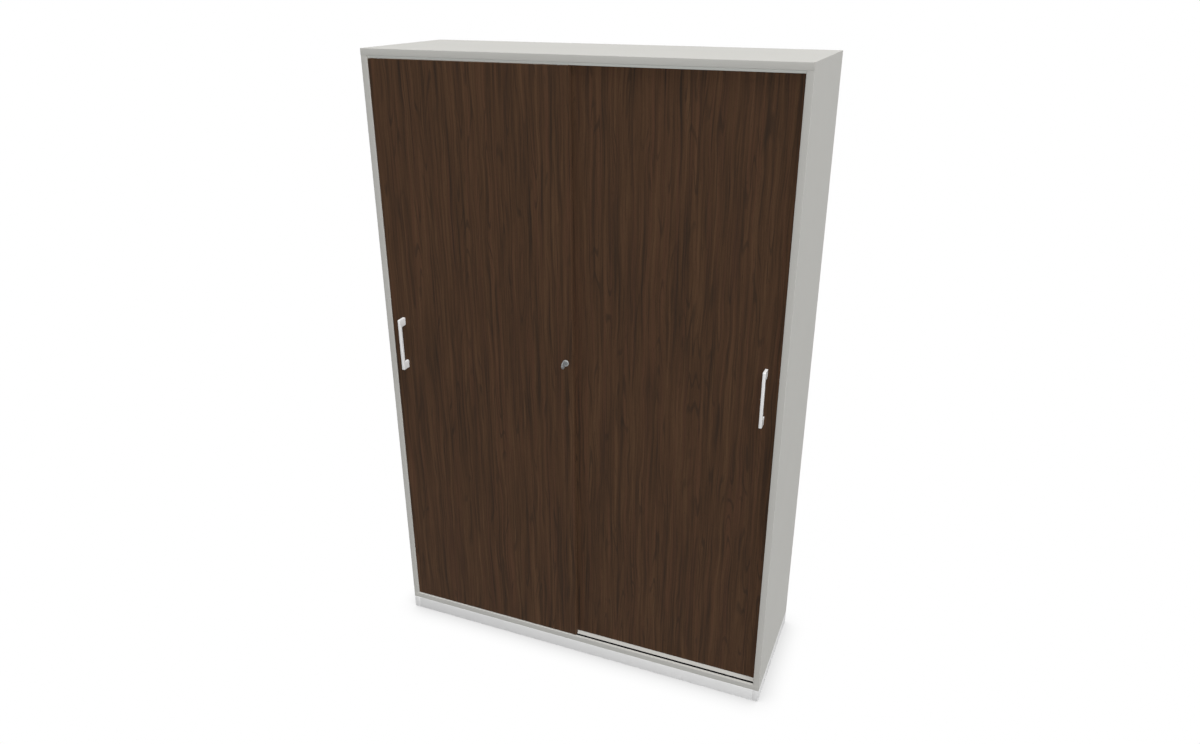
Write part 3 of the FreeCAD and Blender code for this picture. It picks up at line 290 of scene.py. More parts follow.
def band(low, high, outward, radii):
    """A strip whose two outer long edges are quarter arcs: a rounded section carried straight
    along the longest side of the box. outward is the axis and the sign that the edges face, and
    radii are those of the edge on the low and on the high side."""
    axis, sign = outward
    extent = np.array(high) - np.array(low)
    run = int(np.argmax(extent))
    wide = X + Y + Z - axis - run
    inner, outer = (low[axis], high[axis]) if sign > 0 else (high[axis], low[axis])
    section, _ = rounded(
        [(low[wide], inner), (low[wide], outer), (high[wide], outer), (high[wide], inner)],
        [0, *radii, 0],
    )
    points = np.zeros((2, len(section), 3))
    points[..., wide] = section[:, 0]
    points[..., axis] = section[:, 1]
    points[0, :, run] = low[run]
    points[1, :, run] = high[run]
    return skin(capped(points))


def rounded_box(low, high, radius, steps=4):
    """A box with round edges and corners: the unit sphere on a grid of longitude and latitude,
    each octant pushed out to its corner, p = centre + sign * (half size - r) + r * n."""
    low, high = np.array(low), np.array(high)
    quarter = np.linspace(0, math.pi / 2, steps + 1)
    longitude = np.concatenate([quarter + turn * math.pi / 2 for turn in range(4)])
    latitude = np.concatenate([quarter - math.pi / 2, quarter])
    signs_x = np.repeat([1, -1, -1, 1], steps + 1)
    signs_y = np.repeat([1, 1, -1, -1], steps + 1)
    signs_z = np.repeat([-1, 1], steps + 1)
    normal = np.stack([
        np.outer(np.cos(latitude), np.cos(longitude)),
        np.outer(np.cos(latitude), np.sin(longitude)),
        np.outer(np.sin(latitude), np.ones_like(longitude)),
    ], axis=-1)
    sign = np.stack(np.broadcast_arrays(signs_x[None], signs_y[None], signs_z[:, None]), axis=-1)
    points = (low + high) / 2 + sign * ((high - low) / 2 - radius) + radius * normal
    return skin(capped(points))


def centre_of(low, high, y=None):
    """Middle of a box, moved to the given y if there is one."""
    middle = [(start + stop) / 2 for start, stop in zip(low, high)]
    if y is not None:
        middle[Y] = y
    return middle


def angles(sides):
    """Angles of a circle's points."""
    return np.linspace(0, 2 * math.pi, sides, endpoint=False)


def regular(angle, count, across):
    """Radius of a regular outline with a corner at angle 0: across / 2 over the cosine of the
    angle from the middle of the nearest side."""
    step = 2 * math.pi / count
    return across / 2 / np.cos(angle % step - step / 2)


def oblong(angle, width, height):
    """Radius of a rectangle: the nearer of its upright and its level pair of sides."""
    upright = width / 2 / np.maximum(np.abs(np.cos(angle)), TINY)
    lying = height / 2 / np.maximum(np.abs(np.sin(angle)), TINY)
    return np.minimum(upright, lying)


def cross(angle, reach, width):
    """Radius of a cross: the end of the nearest arm, or the side of that arm."""
    off = (angle + math.pi / 4) % (math.pi / 2) - math.pi / 4
    side = width / 2 / np.maximum(np.abs(np.sin(off)), TINY)
    return np.minimum(reach / np.cos(off), side)


def turned(stations, centre, axis, sides, closed=False):
    """A form about an axis: the point at angle a of a station is centre + distance * axis +
    radius(a) * (cos a * u + sin a * v), where u and v are the other two axes. Each station is a
    distance and a radius, each a number or one value for each side. A closed form joins its last
    station to its first, and another one starts and ends on the axis."""
    angle = angles(sides)
    first, second = [other for other in (X, Y, Z) if other != axis]
    distance, radius = [
        np.stack([np.broadcast_to(station[part], sides) for station in stations])
        for part in (0, 1)
    ]
    points = np.zeros((len(stations), sides, 3))
    points[..., axis] = centre[axis] + distance
    points[..., first] = centre[first] + radius * np.cos(angle)
    points[..., second] = centre[second] + radius * np.sin(angle)
    return skin(points, along=closed)


def arc(start, end, steps=5):
    """Stations on a quarter ellipse that leaves start along the axis and meets end square to it:
    distance goes by the sine and radius by the cosine of an angle from 0 to 90 degrees."""
    turn = np.linspace(0, math.pi / 2, steps + 1)
    distance = start[0] + (end[0] - start[0]) * np.sin(turn)
    radius = end[1] + (start[1] - end[1]) * np.cos(turn)
    return list(zip(distance, radius))


def screw(place, axis, sign, head, shank, sides=64):
    """A pan head screw with a cross recess. head and shank are each a radius and a length, and
    sign says which way the head looks. Its forms are shares of them: the shank's point, the
    crown of the head, and the mouth and the floor of the recess."""
    angle = angles(sides)
    (rim, top), (radius, reach) = head, shank
    point, taper = 0.6 * radius, 0.8 * radius
    skirt, crown = 0.3 * top, 0.62 * rim
    arm_width, mouth_reach, floor_reach = 0.24 * rim, 0.52 * rim, 0.36 * rim
    mouth, floor = cross(angle, mouth_reach, arm_width), cross(angle, floor_reach, arm_width)
    floor_height, middle_height = 0.3 * top, 0.25 * top
    stations = [
        (-reach, 0), (-reach, point), (taper - reach, radius), (0, radius), (0, rim),
        *arc((skirt, rim), (top, crown)), (top, mouth), (floor_height, floor), (middle_height, 0),
    ]
    return turned([(sign * distance, size) for distance, size in stations], place, axis, sides)


def bar(outer, inner, half_width, edge, middle, steps=5, closed=False):
    """A flat bar in the YZ plane between two curves, with all its long edges round.

    outer and inner are points with outward normals in Y and Z. The section at each point of the
    curves is a rounded rectangle: edge e at angle t lies at curve - normal * e * (1 - sin t) and
    x = +-(half width - e * (1 - cos t))."""
    quarter = np.linspace(0, math.pi / 2, steps + 1)
    inset = edge * (1 - np.sin(quarter))
    reach = half_width - edge * (1 - np.cos(quarter))
    arcs = []
    for (points, normals), sign in ((outer, 1), (inner, -1)):
        flat = points[:, None] - normals[:, None] * inset[:, None]
        for x, order in ((reach * sign, slice(None)), (-reach * sign, slice(None, None, -1))):
            arcs.append(np.concatenate([
                np.broadcast_to(middle + x[order], flat.shape[:2])[..., None], flat[:, order],
            ], axis=-1))
    points = np.concatenate(arcs, axis=1)
    return skin(points, along=True) if closed else skin(capped(points))


def ring(centre, radius, sides, outward):
    """Points of a circle in the YZ plane and their normals."""
    angle = angles(sides)
    rays = np.stack([np.cos(angle), np.sin(angle)], axis=1)
    return np.array(centre) + radius * rays, outward * rays


def edge_line(places, heights, upward):
    """A line of places along Y and heights along Z with its normals, square to the chord between
    each point's two neighbours."""
    points = np.stack([places, heights], axis=1)
    chord = np.gradient(points, axis=0)
    chord /= np.linalg.norm(chord, axis=1)[:, None]
    return points, upward * np.stack([-chord[:, 1], chord[:, 0]], axis=1)


def make_piece(name, surfaces, body, material, replaces):
    """One object from several closed skins, each welded at its poles, with its faces outward."""
    mesh = bpy.data.meshes.new(name)
    work = bmesh.new()
    for points, faces in surfaces:
        mesh.clear_geometry()
        mesh.from_pydata(points.tolist(), [], faces.tolist())
        known = len(work.verts)
        work.from_mesh(mesh)
        work.verts.ensure_lookup_table()
        bmesh.ops.remove_doubles(work, verts=work.verts[known:], dist=WELD)
    bmesh.ops.recalc_face_normals(work, faces=work.faces)
    work.to_mesh(mesh)
    work.free()
    mesh.polygons.foreach_set("use_smooth", [True] * len(mesh.polygons))
    mesh.set_sharp_from_angle(angle=SMOOTH_BELOW)
    mesh.materials.append(material)
    piece = bpy.data.objects.new(name, mesh)
    bpy.context.scene.collection.objects.link(piece)
    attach(piece, body)
    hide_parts(*replaces)


# Shading -------------------------------------------------------------------------------------

def put(tree, kind, inputs=None, **options):
    """Adds a node; inputs are values or other nodes' sockets, by name or number."""
    made = tree.nodes.new(kind)
    for key, value in options.items():
        setattr(made, key, value)
    for key, value in (inputs or {}).items():
        if isinstance(value, bpy.types.NodeSocket):
            tree.links.new(value, made.inputs[key])
        else:
            made.inputs[key].default_value = value
    return made


def math_of(tree, operation, first, second=0.0, third=0.0):
    """Result of a Math node."""
    return put(
        tree, "ShaderNodeMath", {0: first, 1: second, 2: third}, operation=operation
    ).outputs[0]


def vector_of(tree, operation, first, second):
    """Result of a Vector Math node on two vectors."""
    return put(
        tree, "ShaderNodeVectorMath", {0: first, 1: second}, operation=operation
    ).outputs[0]


def scaled(tree, vector, factor):
    """A vector or a colour times one number."""
    return put(
        tree, "ShaderNodeVectorMath", {0: vector, "Scale": factor}, operation="SCALE"
    ).outputs[0]


def noise_of(tree, vector, scale, detail=2.0, roughness=0.5):
    """Value of a Noise Texture over a vector scaled by three numbers."""
    return put(
        tree, "ShaderNodeTexNoise",
        {
            "Vector": vector_of(tree, "MULTIPLY", vector, scale), "Scale": 1.0,
            "Detail": detail, "Roughness": roughness,
        },
    ).outputs["Fac"]


def vary(tree, noise, swing, base):
    """A base value that a noise of 0..1 moves over a swing."""
    return math_of(tree, "MULTIPLY_ADD", math_of(tree, "SUBTRACT", noise, 0.5), swing, base)


def spread(tree, value, low, high, smooth=False):
    """The value taken from low..high to 0..1."""
    return put(
        tree, "ShaderNodeMapRange", {"Value": value, "From Min": low, "From Max": high},
        interpolation_type="SMOOTHSTEP" if smooth else "LINEAR",
    ).outputs["Result"]


def blend(tree, factor, first, second):
    """A colour between two others. The Mix node's sockets have their numbers in colour mode."""
    factor_in, first_in, second_in, colour_out = 0, 6, 7, 2
    return put(
        tree, "ShaderNodeMix", {factor_in: factor, first_in: first, second_in: second},
        data_type="RGBA",
    ).outputs[colour_out]


def new_group(name, inputs, outputs):
    """An empty shader group with the named sockets, and its two end nodes."""
    tree = bpy.data.node_groups.new(name, "ShaderNodeTree")
    for label, kind, default in inputs:
        socket = tree.interface.new_socket(name=label, in_out="INPUT", socket_type=kind)
        if default is not None:
            socket.default_value = default
    for label, kind in outputs:
        tree.interface.new_socket(name=label, in_out="OUTPUT", socket_type=kind)
    return tree, tree.nodes.new("NodeGroupInput").outputs, tree.nodes.new("NodeGroupOutput")


SURFACE_OUTPUTS = [
    ("Color", "NodeSocketColor"), ("Height", "NodeSocketFloat"), ("Roughness", "NodeSocketFloat"),
]

# The noises of wood: how often each changes over a streak's width, depth and length, its detail
# and its roughness.
WOOD_NOISES = {
    "sway": ((0.2, 0.2, 1.5), 2.0, 0.5),
    "streaks": ((0.9, 0.9, 0.6), 3.0, 0.6),
    "lines": ((3.2, 3.2, 1.4), 3.0, 0.6),
    "fibres": ((14.0, 14.0, 6.0), 2.0, 0.5),
    "hills": ((0.3, 0.3, 0.6), 1.0, 0.5),
    "growth": ((0.5, 0.5, 2.2), 1.0, 0.5),
    "pores": ((9.0, 9.0, 24.0), 1.0, 0.5),
    "glow": ((2.1, 1.7, 0.8), 2.0, 0.5),
}


def give(tree, result, *values):
    """Links the colour, height and roughness of a group to its outputs."""
    for (label, _), value in zip(SURFACE_OUTPUTS, values):
        tree.links.new(value, result.inputs[label])
    return tree


def grain_group(name):
    """Upright wood grain, with Z along the grain: broad streaks and fine lines that sway, dark
    growth lines that follow the contours of a slow field and close in loops, and short pores."""
    tree, given, result = new_group(
        name,
        [
            ("Vector", "NodeSocketVector", None),
            ("Dark", "NodeSocketColor", (0, 0, 0, 1)),
            ("Middle", "NodeSocketColor", (0.5, 0.5, 0.5, 1)),
            ("Light", "NodeSocketColor", (1, 1, 1, 1)),
            ("Warm", "NodeSocketColor", (1, 0.5, 0.5, 1)),
            ("Streak Width", "NodeSocketFloat", 0.01),
            ("Streak Length", "NodeSocketFloat", 0.3),
            ("Growth Lines", "NodeSocketFloat", 0.6),
        ],
        SURFACE_OUTPUTS,
    )
    sway_reach, contour_count = 1.6, 70.0
    lines_share, fibres_share, tone_range = 0.68, 0.25, (0.70, 1.23)
    growth_range, growth_places = (0.55, 1.0), (0.45, 0.62)
    pore_range, pore_share, pore_depth = (0.66, 0.74), 0.5, 0.8
    glow_range, glow_share = (0.5, 0.68), 0.5
    roughness, smoother_in_light = 0.55, 0.08

    def noise(key, vector):
        return noise_of(tree, vector, *WOOD_NOISES[key])

    across = math_of(tree, "DIVIDE", 1.0, given["Streak Width"])
    along = math_of(tree, "DIVIDE", 1.0, given["Streak Length"])
    unit = put(tree, "ShaderNodeCombineXYZ", {X: across, Y: across, Z: along}).outputs[0]
    straight = vector_of(tree, "MULTIPLY", given["Vector"], unit)
    sway = math_of(tree, "MULTIPLY_ADD", noise("sway", straight), sway_reach, -sway_reach / 2)
    shift = put(tree, "ShaderNodeCombineXYZ", {X: sway}).outputs[0]
    wavy = vector_of(tree, "ADD", straight, shift)

    tone = math_of(tree, "MULTIPLY_ADD", noise("lines", wavy), lines_share,
                   noise("streaks", wavy))
    tone = math_of(tree, "MULTIPLY_ADD", noise("fibres", wavy), fibres_share, tone)
    tone = spread(tree, tone, *tone_range)
    contours = math_of(tree, "MULTIPLY", noise("hills", wavy), contour_count)
    growth = spread(tree, math_of(tree, "SINE", contours), *growth_range, smooth=True)
    where = spread(tree, noise("growth", wavy), *growth_places)
    growth = math_of(tree, "MULTIPLY", growth, where)
    growth = math_of(tree, "MULTIPLY", growth, given["Growth Lines"])
    pores = spread(tree, noise("pores", wavy), *pore_range)
    glow = spread(tree, noise("glow", wavy), *glow_range)

    body = blend(tree, spread(tree, tone, 0.0, 0.5), given["Dark"], given["Middle"])
    body = blend(tree, spread(tree, tone, 0.5, 1.0), body, given["Light"])
    body = blend(tree, math_of(tree, "MULTIPLY", glow, glow_share), body, given["Warm"])
    body = blend(tree, growth, body, given["Dark"])
    body = blend(tree, math_of(tree, "MULTIPLY", pores, pore_share), body, given["Dark"])
    return give(
        tree, result, body, math_of(tree, "MULTIPLY_ADD", pores, -pore_depth, tone),
        math_of(tree, "MULTIPLY_ADD", tone, -smoother_in_light, roughness),
    )


def pearl_group(name):
    """Fine pearl structure of melamine and moulded plastic, with a slight cloudiness."""
    tree, given, result = new_group(
        name,
        [
            ("Vector", "NodeSocketVector", None),
            ("Color", "NodeSocketColor", (0.5, 0.5, 0.5, 1)),
            ("Grain", "NodeSocketFloat", 0.0007),
            ("Cloud", "NodeSocketFloat", 0.03),
            ("Roughness", "NodeSocketFloat", 0.5),
        ],
        SURFACE_OUTPUTS,
    )
    clouds_per_metre, rough_swing = 9.0, 0.1
    fine = scaled(tree, given["Vector"], math_of(tree, "DIVIDE", 1.0, given["Grain"]))
    pearl = noise_of(tree, fine, (1.0, 1.0, 1.0), detail=2.0, roughness=0.55)
    cloud = noise_of(tree, given["Vector"], (clouds_per_metre,) * 3, detail=3.0)
    tint = scaled(tree, given["Color"], vary(tree, cloud, given["Cloud"], 1.0))
    return give(tree, result, tint, pearl, vary(tree, pearl, rough_swing, given["Roughness"]))


def machined_group(name):
    """Fine tool marks on metal, drawn out along Z, with a slight haze."""
    tree, given, result = new_group(
        name,
        [
            ("Vector", "NodeSocketVector", None),
            ("Color", "NodeSocketColor", (0.5, 0.5, 0.5, 1)),
            ("Spacing", "NodeSocketFloat", 0.0003),
            ("Roughness", "NodeSocketFloat", 0.3),
        ],
        SURFACE_OUTPUTS,
    )
    hazes_per_metre, haze_swing, rough_swing, drawn_out = 160.0, 0.12, 0.25, 0.08
    fine = scaled(tree, given["Vector"], math_of(tree, "DIVIDE", 1.0, given["Spacing"]))
    marks = noise_of(tree, fine, (1.0, 1.0, drawn_out), detail=3.0)
    haze = noise_of(tree, given["Vector"], (hazes_per_metre,) * 3, detail=2.0)
    tint = scaled(tree, given["Color"], vary(tree, haze, haze_swing, 1.0))
    return give(tree, result, tint, marks, vary(tree, marks, rough_swing, given["Roughness"]))


EFFECTS = {
    "Upright Grain": grain_group,
    "Pearl Structure": pearl_group,
    "Tool Marks": machined_group,
}


def finish(name, effect, values, relief, **surface):
    """A material: an effect's colour, roughness and height on a Principled BSDF. relief is the
    strength and the depth of the bump."""
    found = bpy.data.materials.get(name)
    if found:
        return found
    made = bpy.data.materials.new(name)
    made.use_nodes = True
    tree = made.node_tree
    shader = tree.nodes["Principled BSDF"]
    where = put(tree, "ShaderNodeTexCoord").outputs["Object"]
    group = bpy.data.node_groups.get(effect) or EFFECTS[effect](effect)
    pattern = put(tree, "ShaderNodeGroup", node_tree=group)
    tree.links.new(where, pattern.inputs["Vector"])
    for key, value in values.items():
        pattern.inputs[key].default_value = value
    bump = put(
        tree, "ShaderNodeBump",
        {"Height": pattern.outputs["Height"], "Strength": relief[0], "Distance": relief[1]},
    )
    tree.links.new(pattern.outputs["Color"], shader.inputs["Base Color"])
    tree.links.new(pattern.outputs["Roughness"], shader.inputs["Roughness"])
    tree.links.new(bump.outputs["Normal"], shader.inputs["Normal"])
    for key, value in surface.items():
        shader.inputs[key.replace("_", " ")].default_value = value
    made.diffuse_color = values.get("Color", values.get("Middle"))
    return made


def opaque(rgb):
    """A colour with full alpha."""
    return (*rgb, 1.0)


def melamine(name, rgb, boards):
    """Melamine with a pearl structure."""
    return finish(
        name, "Pearl Structure",
        {"Color": opaque(rgb), "Grain": 0.0009, "Cloud": 0.03, "Roughness": boards.roughness},
        relief=(0.12, 0.0001), Specular_IOR_Level=boards.gloss,
    )


def timber(name, tones, streak_width, streak_length, growth, gloss):
    """Wood grain in four tones: late wood, body, early wood and the warm streaks."""
    return finish(
        name, "Upright Grain",
        {
            **dict(zip(("Dark", "Middle", "Light", "Warm"), map(opaque, tones))),
            "Streak Width": streak_width, "Streak Length": streak_length,
            "Growth Lines": growth,
        },
        relief=(0.15, 0.0001), Specular_IOR_Level=gloss,
    )


def plastic(name, rgb, roughness=0.45, gloss=0.4):
    """Moulded plastic, rubber or lacquer with a fine structure."""
    return finish(
        name, "Pearl Structure",
        {"Color": opaque(rgb), "Grain": 0.0005, "Cloud": 0.06, "Roughness": roughness},
        relief=(0.1, 0.00005), Specular_IOR_Level=gloss,
    )


def metal(name, rgb, roughness=0.3, metallic=1.0):
    """Plated or bare metal with fine tool marks."""
    return finish(
        name, "Tool Marks", {"Color": opaque(rgb), "Spacing": 0.0003, "Roughness": roughness},
        relief=(0.1, 0.00003), Metallic=metallic,
    )


def coat_nodes(names, material):
    """Gives CAD nodes a better material in all their slots."""
    for name in names:
        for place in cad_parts[name].material_slots:
            place.material = material


# Pieces --------------------------------------------------------------------------------------

class CABINET_OT_boards(bpy.types.Operator):
    """Finish the carcass boards, shelves, back panel, dowels and glue blocks"""

    bl_idname = "cabinet.boards"
    bl_label = "Boards"

    def execute(self, context):
        boards = context.scene.cabinet_boards
        coat_nodes(
            ["top_board", "bottom_board", "left_side", "right_side", "centre_partition", *SHELVES],
            melamine("grey_melamine", boards.board, boards),
        )
        coat_nodes(["back_panel"], melamine("back_melamine", boards.back, boards))
        body = np.array(boards.bare_wood)
        tones = [body * brightness for brightness in (0.72, 1, 1.15, 1.05)]
        beech = timber("bare_beech", tones, streak_width=0.006, streak_length=0.06, growth=0.2,
                       gloss=boards.gloss)
        coat_nodes(["dowels", "plinth_blocks"], beech)
        return {"FINISHED"}


class CABINET_OT_doors(bpy.types.Operator):
    """Finish the door panels and round their edge bands"""

    bl_idname = "cabinet.doors"
    bl_label = "Doors"

    def execute(self, context):
        walnut = context.scene.cabinet_walnut
        tones = [np.array(tone) for tone in (walnut.dark, walnut.middle, walnut.light, walnut.warm)]
        lifted = [tone + (np.array(walnut.light) - tone) * walnut.band_lift for tone in tones]
        streaks = {"streak_width": walnut.streak_width, "streak_length": walnut.streak_length}
        decor = timber("walnut_decor", tones, growth=0.6, gloss=walnut.gloss, **streaks)
        trim = timber("walnut_band", lifted, growth=0.2, gloss=walnut.gloss, **streaks)
        coat_nodes([f"{door}_door_panel" for door in DOORS], decor)
        for door in DOORS:
            strips = self.strips(door, walnut.edge, context.scene.cabinet_fittings)
            make_piece(f"{door}_door_bands", strips, f"{door}_door", trim,
                       [f"{door}_door_edge_bands"])
        return {"FINISHED"}

    def strips(self, door, edge, fittings):
        """The upright and the level bands of a door. The level ones leave the mortises of the
        door's fittings open, with a narrow strip on each side of a mortise."""
        low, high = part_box(f"{door}_door_edge_bands")
        inner_low, inner_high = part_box(f"{door}_door_panel")
        middle = (low.y + high.y) / 2
        near, far = middle - fittings.mortise, middle + fittings.mortise
        strips = [
            band(low, (inner_low.x, high.y, high.z), (X, -1), (edge, edge)),
            band((inner_high.x, low.y, low.z), high, (X, 1), (edge, edge)),
        ]
        for bottom, top, sign, inset, size in (
            (low.z, inner_low.z, -1, fittings.wheel_inset, fittings.carrier),
            (inner_high.z, high.z, 1, fittings.pin_inset, fittings.housing),
        ):
            reach = size / 2 + fittings.mortise_play
            gaps = [(place - reach, place + reach) for place in (low.x + inset, high.x - inset)]
            ends = [inner_low.x, *gaps[0], *gaps[1], inner_high.x]
            rows = [(start, stop, low.y, high.y, (edge, edge))
                    for start, stop in zip(ends[::2], ends[1::2])]
            for start, stop in gaps:
                rows.append((start, stop, low.y, near, (edge, 0)))
                rows.append((start, stop, far, high.y, (0, edge)))
            strips += [band((start, front, bottom), (stop, back, top), (Z, sign), radii)
                       for start, stop, front, back, radii in rows]
        return strips


class CABINET_OT_carcass_bands(bpy.types.Operator):
    """Round the edge bands of the carcass, the partition and the shelves"""

    bl_idname = "cabinet.carcass_bands"
    bl_label = "Carcass Bands"

    def execute(self, context):
        boards = context.scene.cabinet_boards
        radii = (boards.band_round, boards.band_round)
        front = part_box("carcass_edge_bands")[0].y
        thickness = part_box("top_board")[0].y - front
        outer = ["top_board", "bottom_board", "left_side", "right_side"]
        strips = []
        for name in (*outer, "centre_partition", *SHELVES):
            low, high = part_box(name)
            strips.append(band((low.x, low.y - thickness, low.z), (high.x, low.y, high.z),
                               (Y, -1), radii))
        make_piece(
            "carcass_bands", strips, "carcass",
            melamine("grey_band", boards.band, boards), ["carcass_edge_bands"],
        )
        return {"FINISHED"}


class CABINET_OT_plinth(bpy.types.Operator):
    """Round the edges of the plinth rails"""

    bl_idname = "cabinet.plinth"
    bl_label = "Plinth"

    def execute(self, context):
        boards = context.scene.cabinet_boards
        white = melamine("plinth_melamine", boards.plinth, boards)
        for name in ("plinth_front", "plinth_back", "plinth_left", "plinth_right"):
            low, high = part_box(name)
            make_piece(
                f"{name}_rail", [rounded_box(low, high, boards.plinth_round)], "carcass",
                white, [name],
            )
        return {"FINISHED"}


class CABINET_OT_tracks(bpy.types.Operator):
    """Finish the tracks and their stops, the guide rails and the moulded fittings"""

    bl_idname = "cabinet.tracks"
    bl_label = "Tracks"

    def execute(self, context):
        given = context.scene.cabinet_fittings
        moulded = [f"{door}_{part}" for door in DOORS
                   for part in ("roller_carriers", "guide_housings")]
        coat_nodes(["front_track", "rear_track"],
                   plastic("track_plastic", given.black, roughness=0.6, gloss=0.04))
        coat_nodes(moulded, plastic("moulded_black", given.black, gloss=0.1))
        coat_nodes(["front_guide_rail", "rear_guide_rail"],
                   plastic("guide_rail_grey", given.rail, roughness=0.4))
        coat_nodes(["track_stops"], plastic("black_rubber", given.rubber, roughness=0.8))
        return {"FINISHED"}


class CABINET_OT_handles(bpy.types.Operator):
    """Build the bow handles"""

    bl_idname = "cabinet.handles"
    bl_label = "Handles"

    def execute(self, context):
        given = context.scene.cabinet_handles
        white = plastic("white_lacquer", given.lacquer, roughness=given.roughness, gloss=0.7)
        for door in DOORS:
            low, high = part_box(f"{door}_handle")
            back = low.y + given.bar
            top, bottom = high.z - given.foot, low.z + given.foot
            outer = rounded(
                [(high.y, low.z), (low.y, low.z), (low.y, high.z), (high.y, high.z)],
                given.corner, closed=False,
            )
            inner, normals = rounded(
                [(high.y, bottom), (back, bottom), (back, top), (high.y, top)],
                given.crook, closed=False,
            )
            half_width, middle = (high.x - low.x) / 2, (low.x + high.x) / 2
            bow = bar(outer, (inner, -normals), half_width, given.edge, middle)
            make_piece(f"{door}_bow_handle", [bow], f"{door}_door", white,
                       [f"{door}_handle"])
        return {"FINISHED"}


class CABINET_OT_lock(bpy.types.Operator):
    """Build the lock's rosette and barrel, its nut, its plug and the key"""

    bl_idname = "cabinet.lock"
    bl_label = "Lock"

    def execute(self, context):
        given = context.scene.cabinet_lock
        nickel = metal("nickel_plate", given.rosette, 0.4, given.satin)
        self.cylinder(given, nickel)
        self.nut(given, metal("bright_zinc", context.scene.cabinet_fittings.steel))
        self.plug(given, metal("plug_metal", given.plug, 0.35, given.satin))
        self.key(given, metal("key_metal", given.key, 0.4, given.satin))
        return {"FINISHED"}

    def cylinder(self, given, material):
        """A turned ring with a domed front, and a barrel whose thread is a helix: its radius is
        r - depth * (1 - cos(2 pi * distance / pitch - angle)) / 2, and the depth runs out over
        the last turn."""
        low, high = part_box("lock_cylinder")
        plug_low, plug_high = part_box("lock_plug")
        rise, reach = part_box("left_door_panel")[0].y - low.y, high.y - low.y
        flange, barrel, edge = (high.x - low.x) / 2, given.barrel, given.edge
        crown, dome = 0.76 * flange, 0.8 * rise
        bore = given.plug_body + given.play
        seat_radius = (plug_high.x - plug_low.x) / 2 + given.play
        seat = plug_low.y - low.y + given.shoulder
        sides, stations_in_turn, thread_depth = 72, 8, 0.6 * given.pitch
        turns = (reach - rise) / given.pitch
        places = np.linspace(rise, reach, round(turns * stations_in_turn) + 1)[1:-1]
        groove = (1 - np.cos(2 * math.pi * places[:, None] / given.pitch - angles(sides))) / 2
        fade = np.clip((reach - places) / given.pitch, 0, 1)[:, None]
        thread = list(zip(places, barrel - thread_depth * groove * fade))
        stations = [
            (reach, bore), (seat, bore), (seat, seat_radius), (edge, seat_radius),
            (0, seat_radius + edge), (0, crown), *arc((dome, flange), (0, crown))[::-1],
            (rise, flange), (rise, barrel), *thread, (reach, barrel - edge),
        ]
        make_piece(
            "lock_rosette_and_barrel",
            [turned(stations, centre_of(low, high, low.y), Y, sides, closed=True)],
            "left_door", material, ["lock_cylinder"],
        )

    def nut(self, given, material):
        """A hexagon whose corners are cut by a cone on both faces."""
        low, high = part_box("lock_nut")
        across, thick = high.z - low.z, high.y - low.y
        hole, edge, sides = given.barrel + given.play, given.edge, 96
        face_radius, cone_slope = 0.49 * across, 0.5
        outline = regular(angles(sides), count=6, across=across)
        face = np.minimum(outline, face_radius)
        cut = cone_slope * (outline - face)
        stations = [
            (edge, hole), (0, hole + edge), (0, face), (cut, outline), (thick - cut, outline),
            (thick, face), (thick, hole + edge), (thick - edge, hole),
        ]
        make_piece(
            "hexagon_nut", [turned(stations, centre_of(low, high, low.y), Y, sides, closed=True)],
            "left_door", material, ["lock_nut"],
        )

    def plug(self, given, material):
        """A turned plug; the keyway and the square tenon are stations whose radius follows a
        rectangle, and the thread of the cam screw is a blind hole in the tenon."""
        low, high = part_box("lock_plug")
        cam_low, cam_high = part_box("lock_cam")
        screw_low, screw_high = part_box("lock_cam_screw")
        radius, reach = (high.x - low.x) / 2, high.y - low.y
        edge, sides = given.edge, 96
        angle = angles(sides)
        slot = oblong(angle, given.keyway_width, given.keyway_height)
        square = oblong(angle, given.tenon, given.tenon)
        tenon_start = cam_low.y - low.y
        hole = (screw_high.x - screw_low.x) / 2 * CAM_CORE
        blind = reach - (cam_high.y - screw_low.y) - edge
        stations = [
            (given.keyway_depth, 0), (given.keyway_depth, slot), (edge, slot), (0, slot + edge),
            (0, radius - edge), *arc((edge, radius), (0, radius - edge))[::-1],
            (given.shoulder, radius), (given.shoulder, given.plug_body),
            (tenon_start, given.plug_body), (tenon_start, square), (reach - edge, square),
            (reach, square - edge), (reach, hole), (blind, hole), (blind, 0),
        ]
        make_piece(
            "plug_with_keyway", [turned(stations, centre_of(low, high, low.y), Y, sides)],
            "lock_plug", material, ["lock_plug"],
        )

    def key(self, given, material):
        """A flat ring for the bow, and a thinner blade between a plain upper line and a lower
        line with triangular cuts; both are flat bars between two curves."""
        low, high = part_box("lock_key")
        bow, half = (high.z - low.z) / 2, (high.x - low.x) / 2
        blade_half, sides = 0.85 * half, 96
        middle, _, height = centre_of(low, high)
        centre = low.y + bow
        disc = bar(ring((centre, height), bow, sides, 1),
                   ring((centre - given.key_hole_offset, height), given.key_hole, sides, -1),
                   half, given.edge, middle, closed=True)
        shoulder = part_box("lock_plug")[0].y - given.key_gap
        inserted = high.y - shoulder - given.key_gap
        cut, blade, neck = given.key_cut, given.key_blade / 2, given.key_neck / 2
        cuts = np.arange(1, given.key_cuts + 1) / (given.key_cuts + 1)
        cut_places = shoulder + cuts[:, None] * inserted + np.array([-cut, 0, cut])
        places = np.concatenate([
            [centre, shoulder - given.edge, shoulder], cut_places.ravel(), [high.y - cut, high.y],
        ])
        upper = np.full(len(places), blade)
        upper[:2] = neck
        upper[-1] = blade - cut
        lower = -upper
        lower[3:-2] += np.tile([0, cut, 0], given.key_cuts)
        stem = bar(edge_line(places, height + upper, 1), edge_line(places, height + lower, -1),
                   blade_half, given.edge, middle)
        make_piece("flat_key", [disc, stem], "lock_key", material, ["lock_key"])


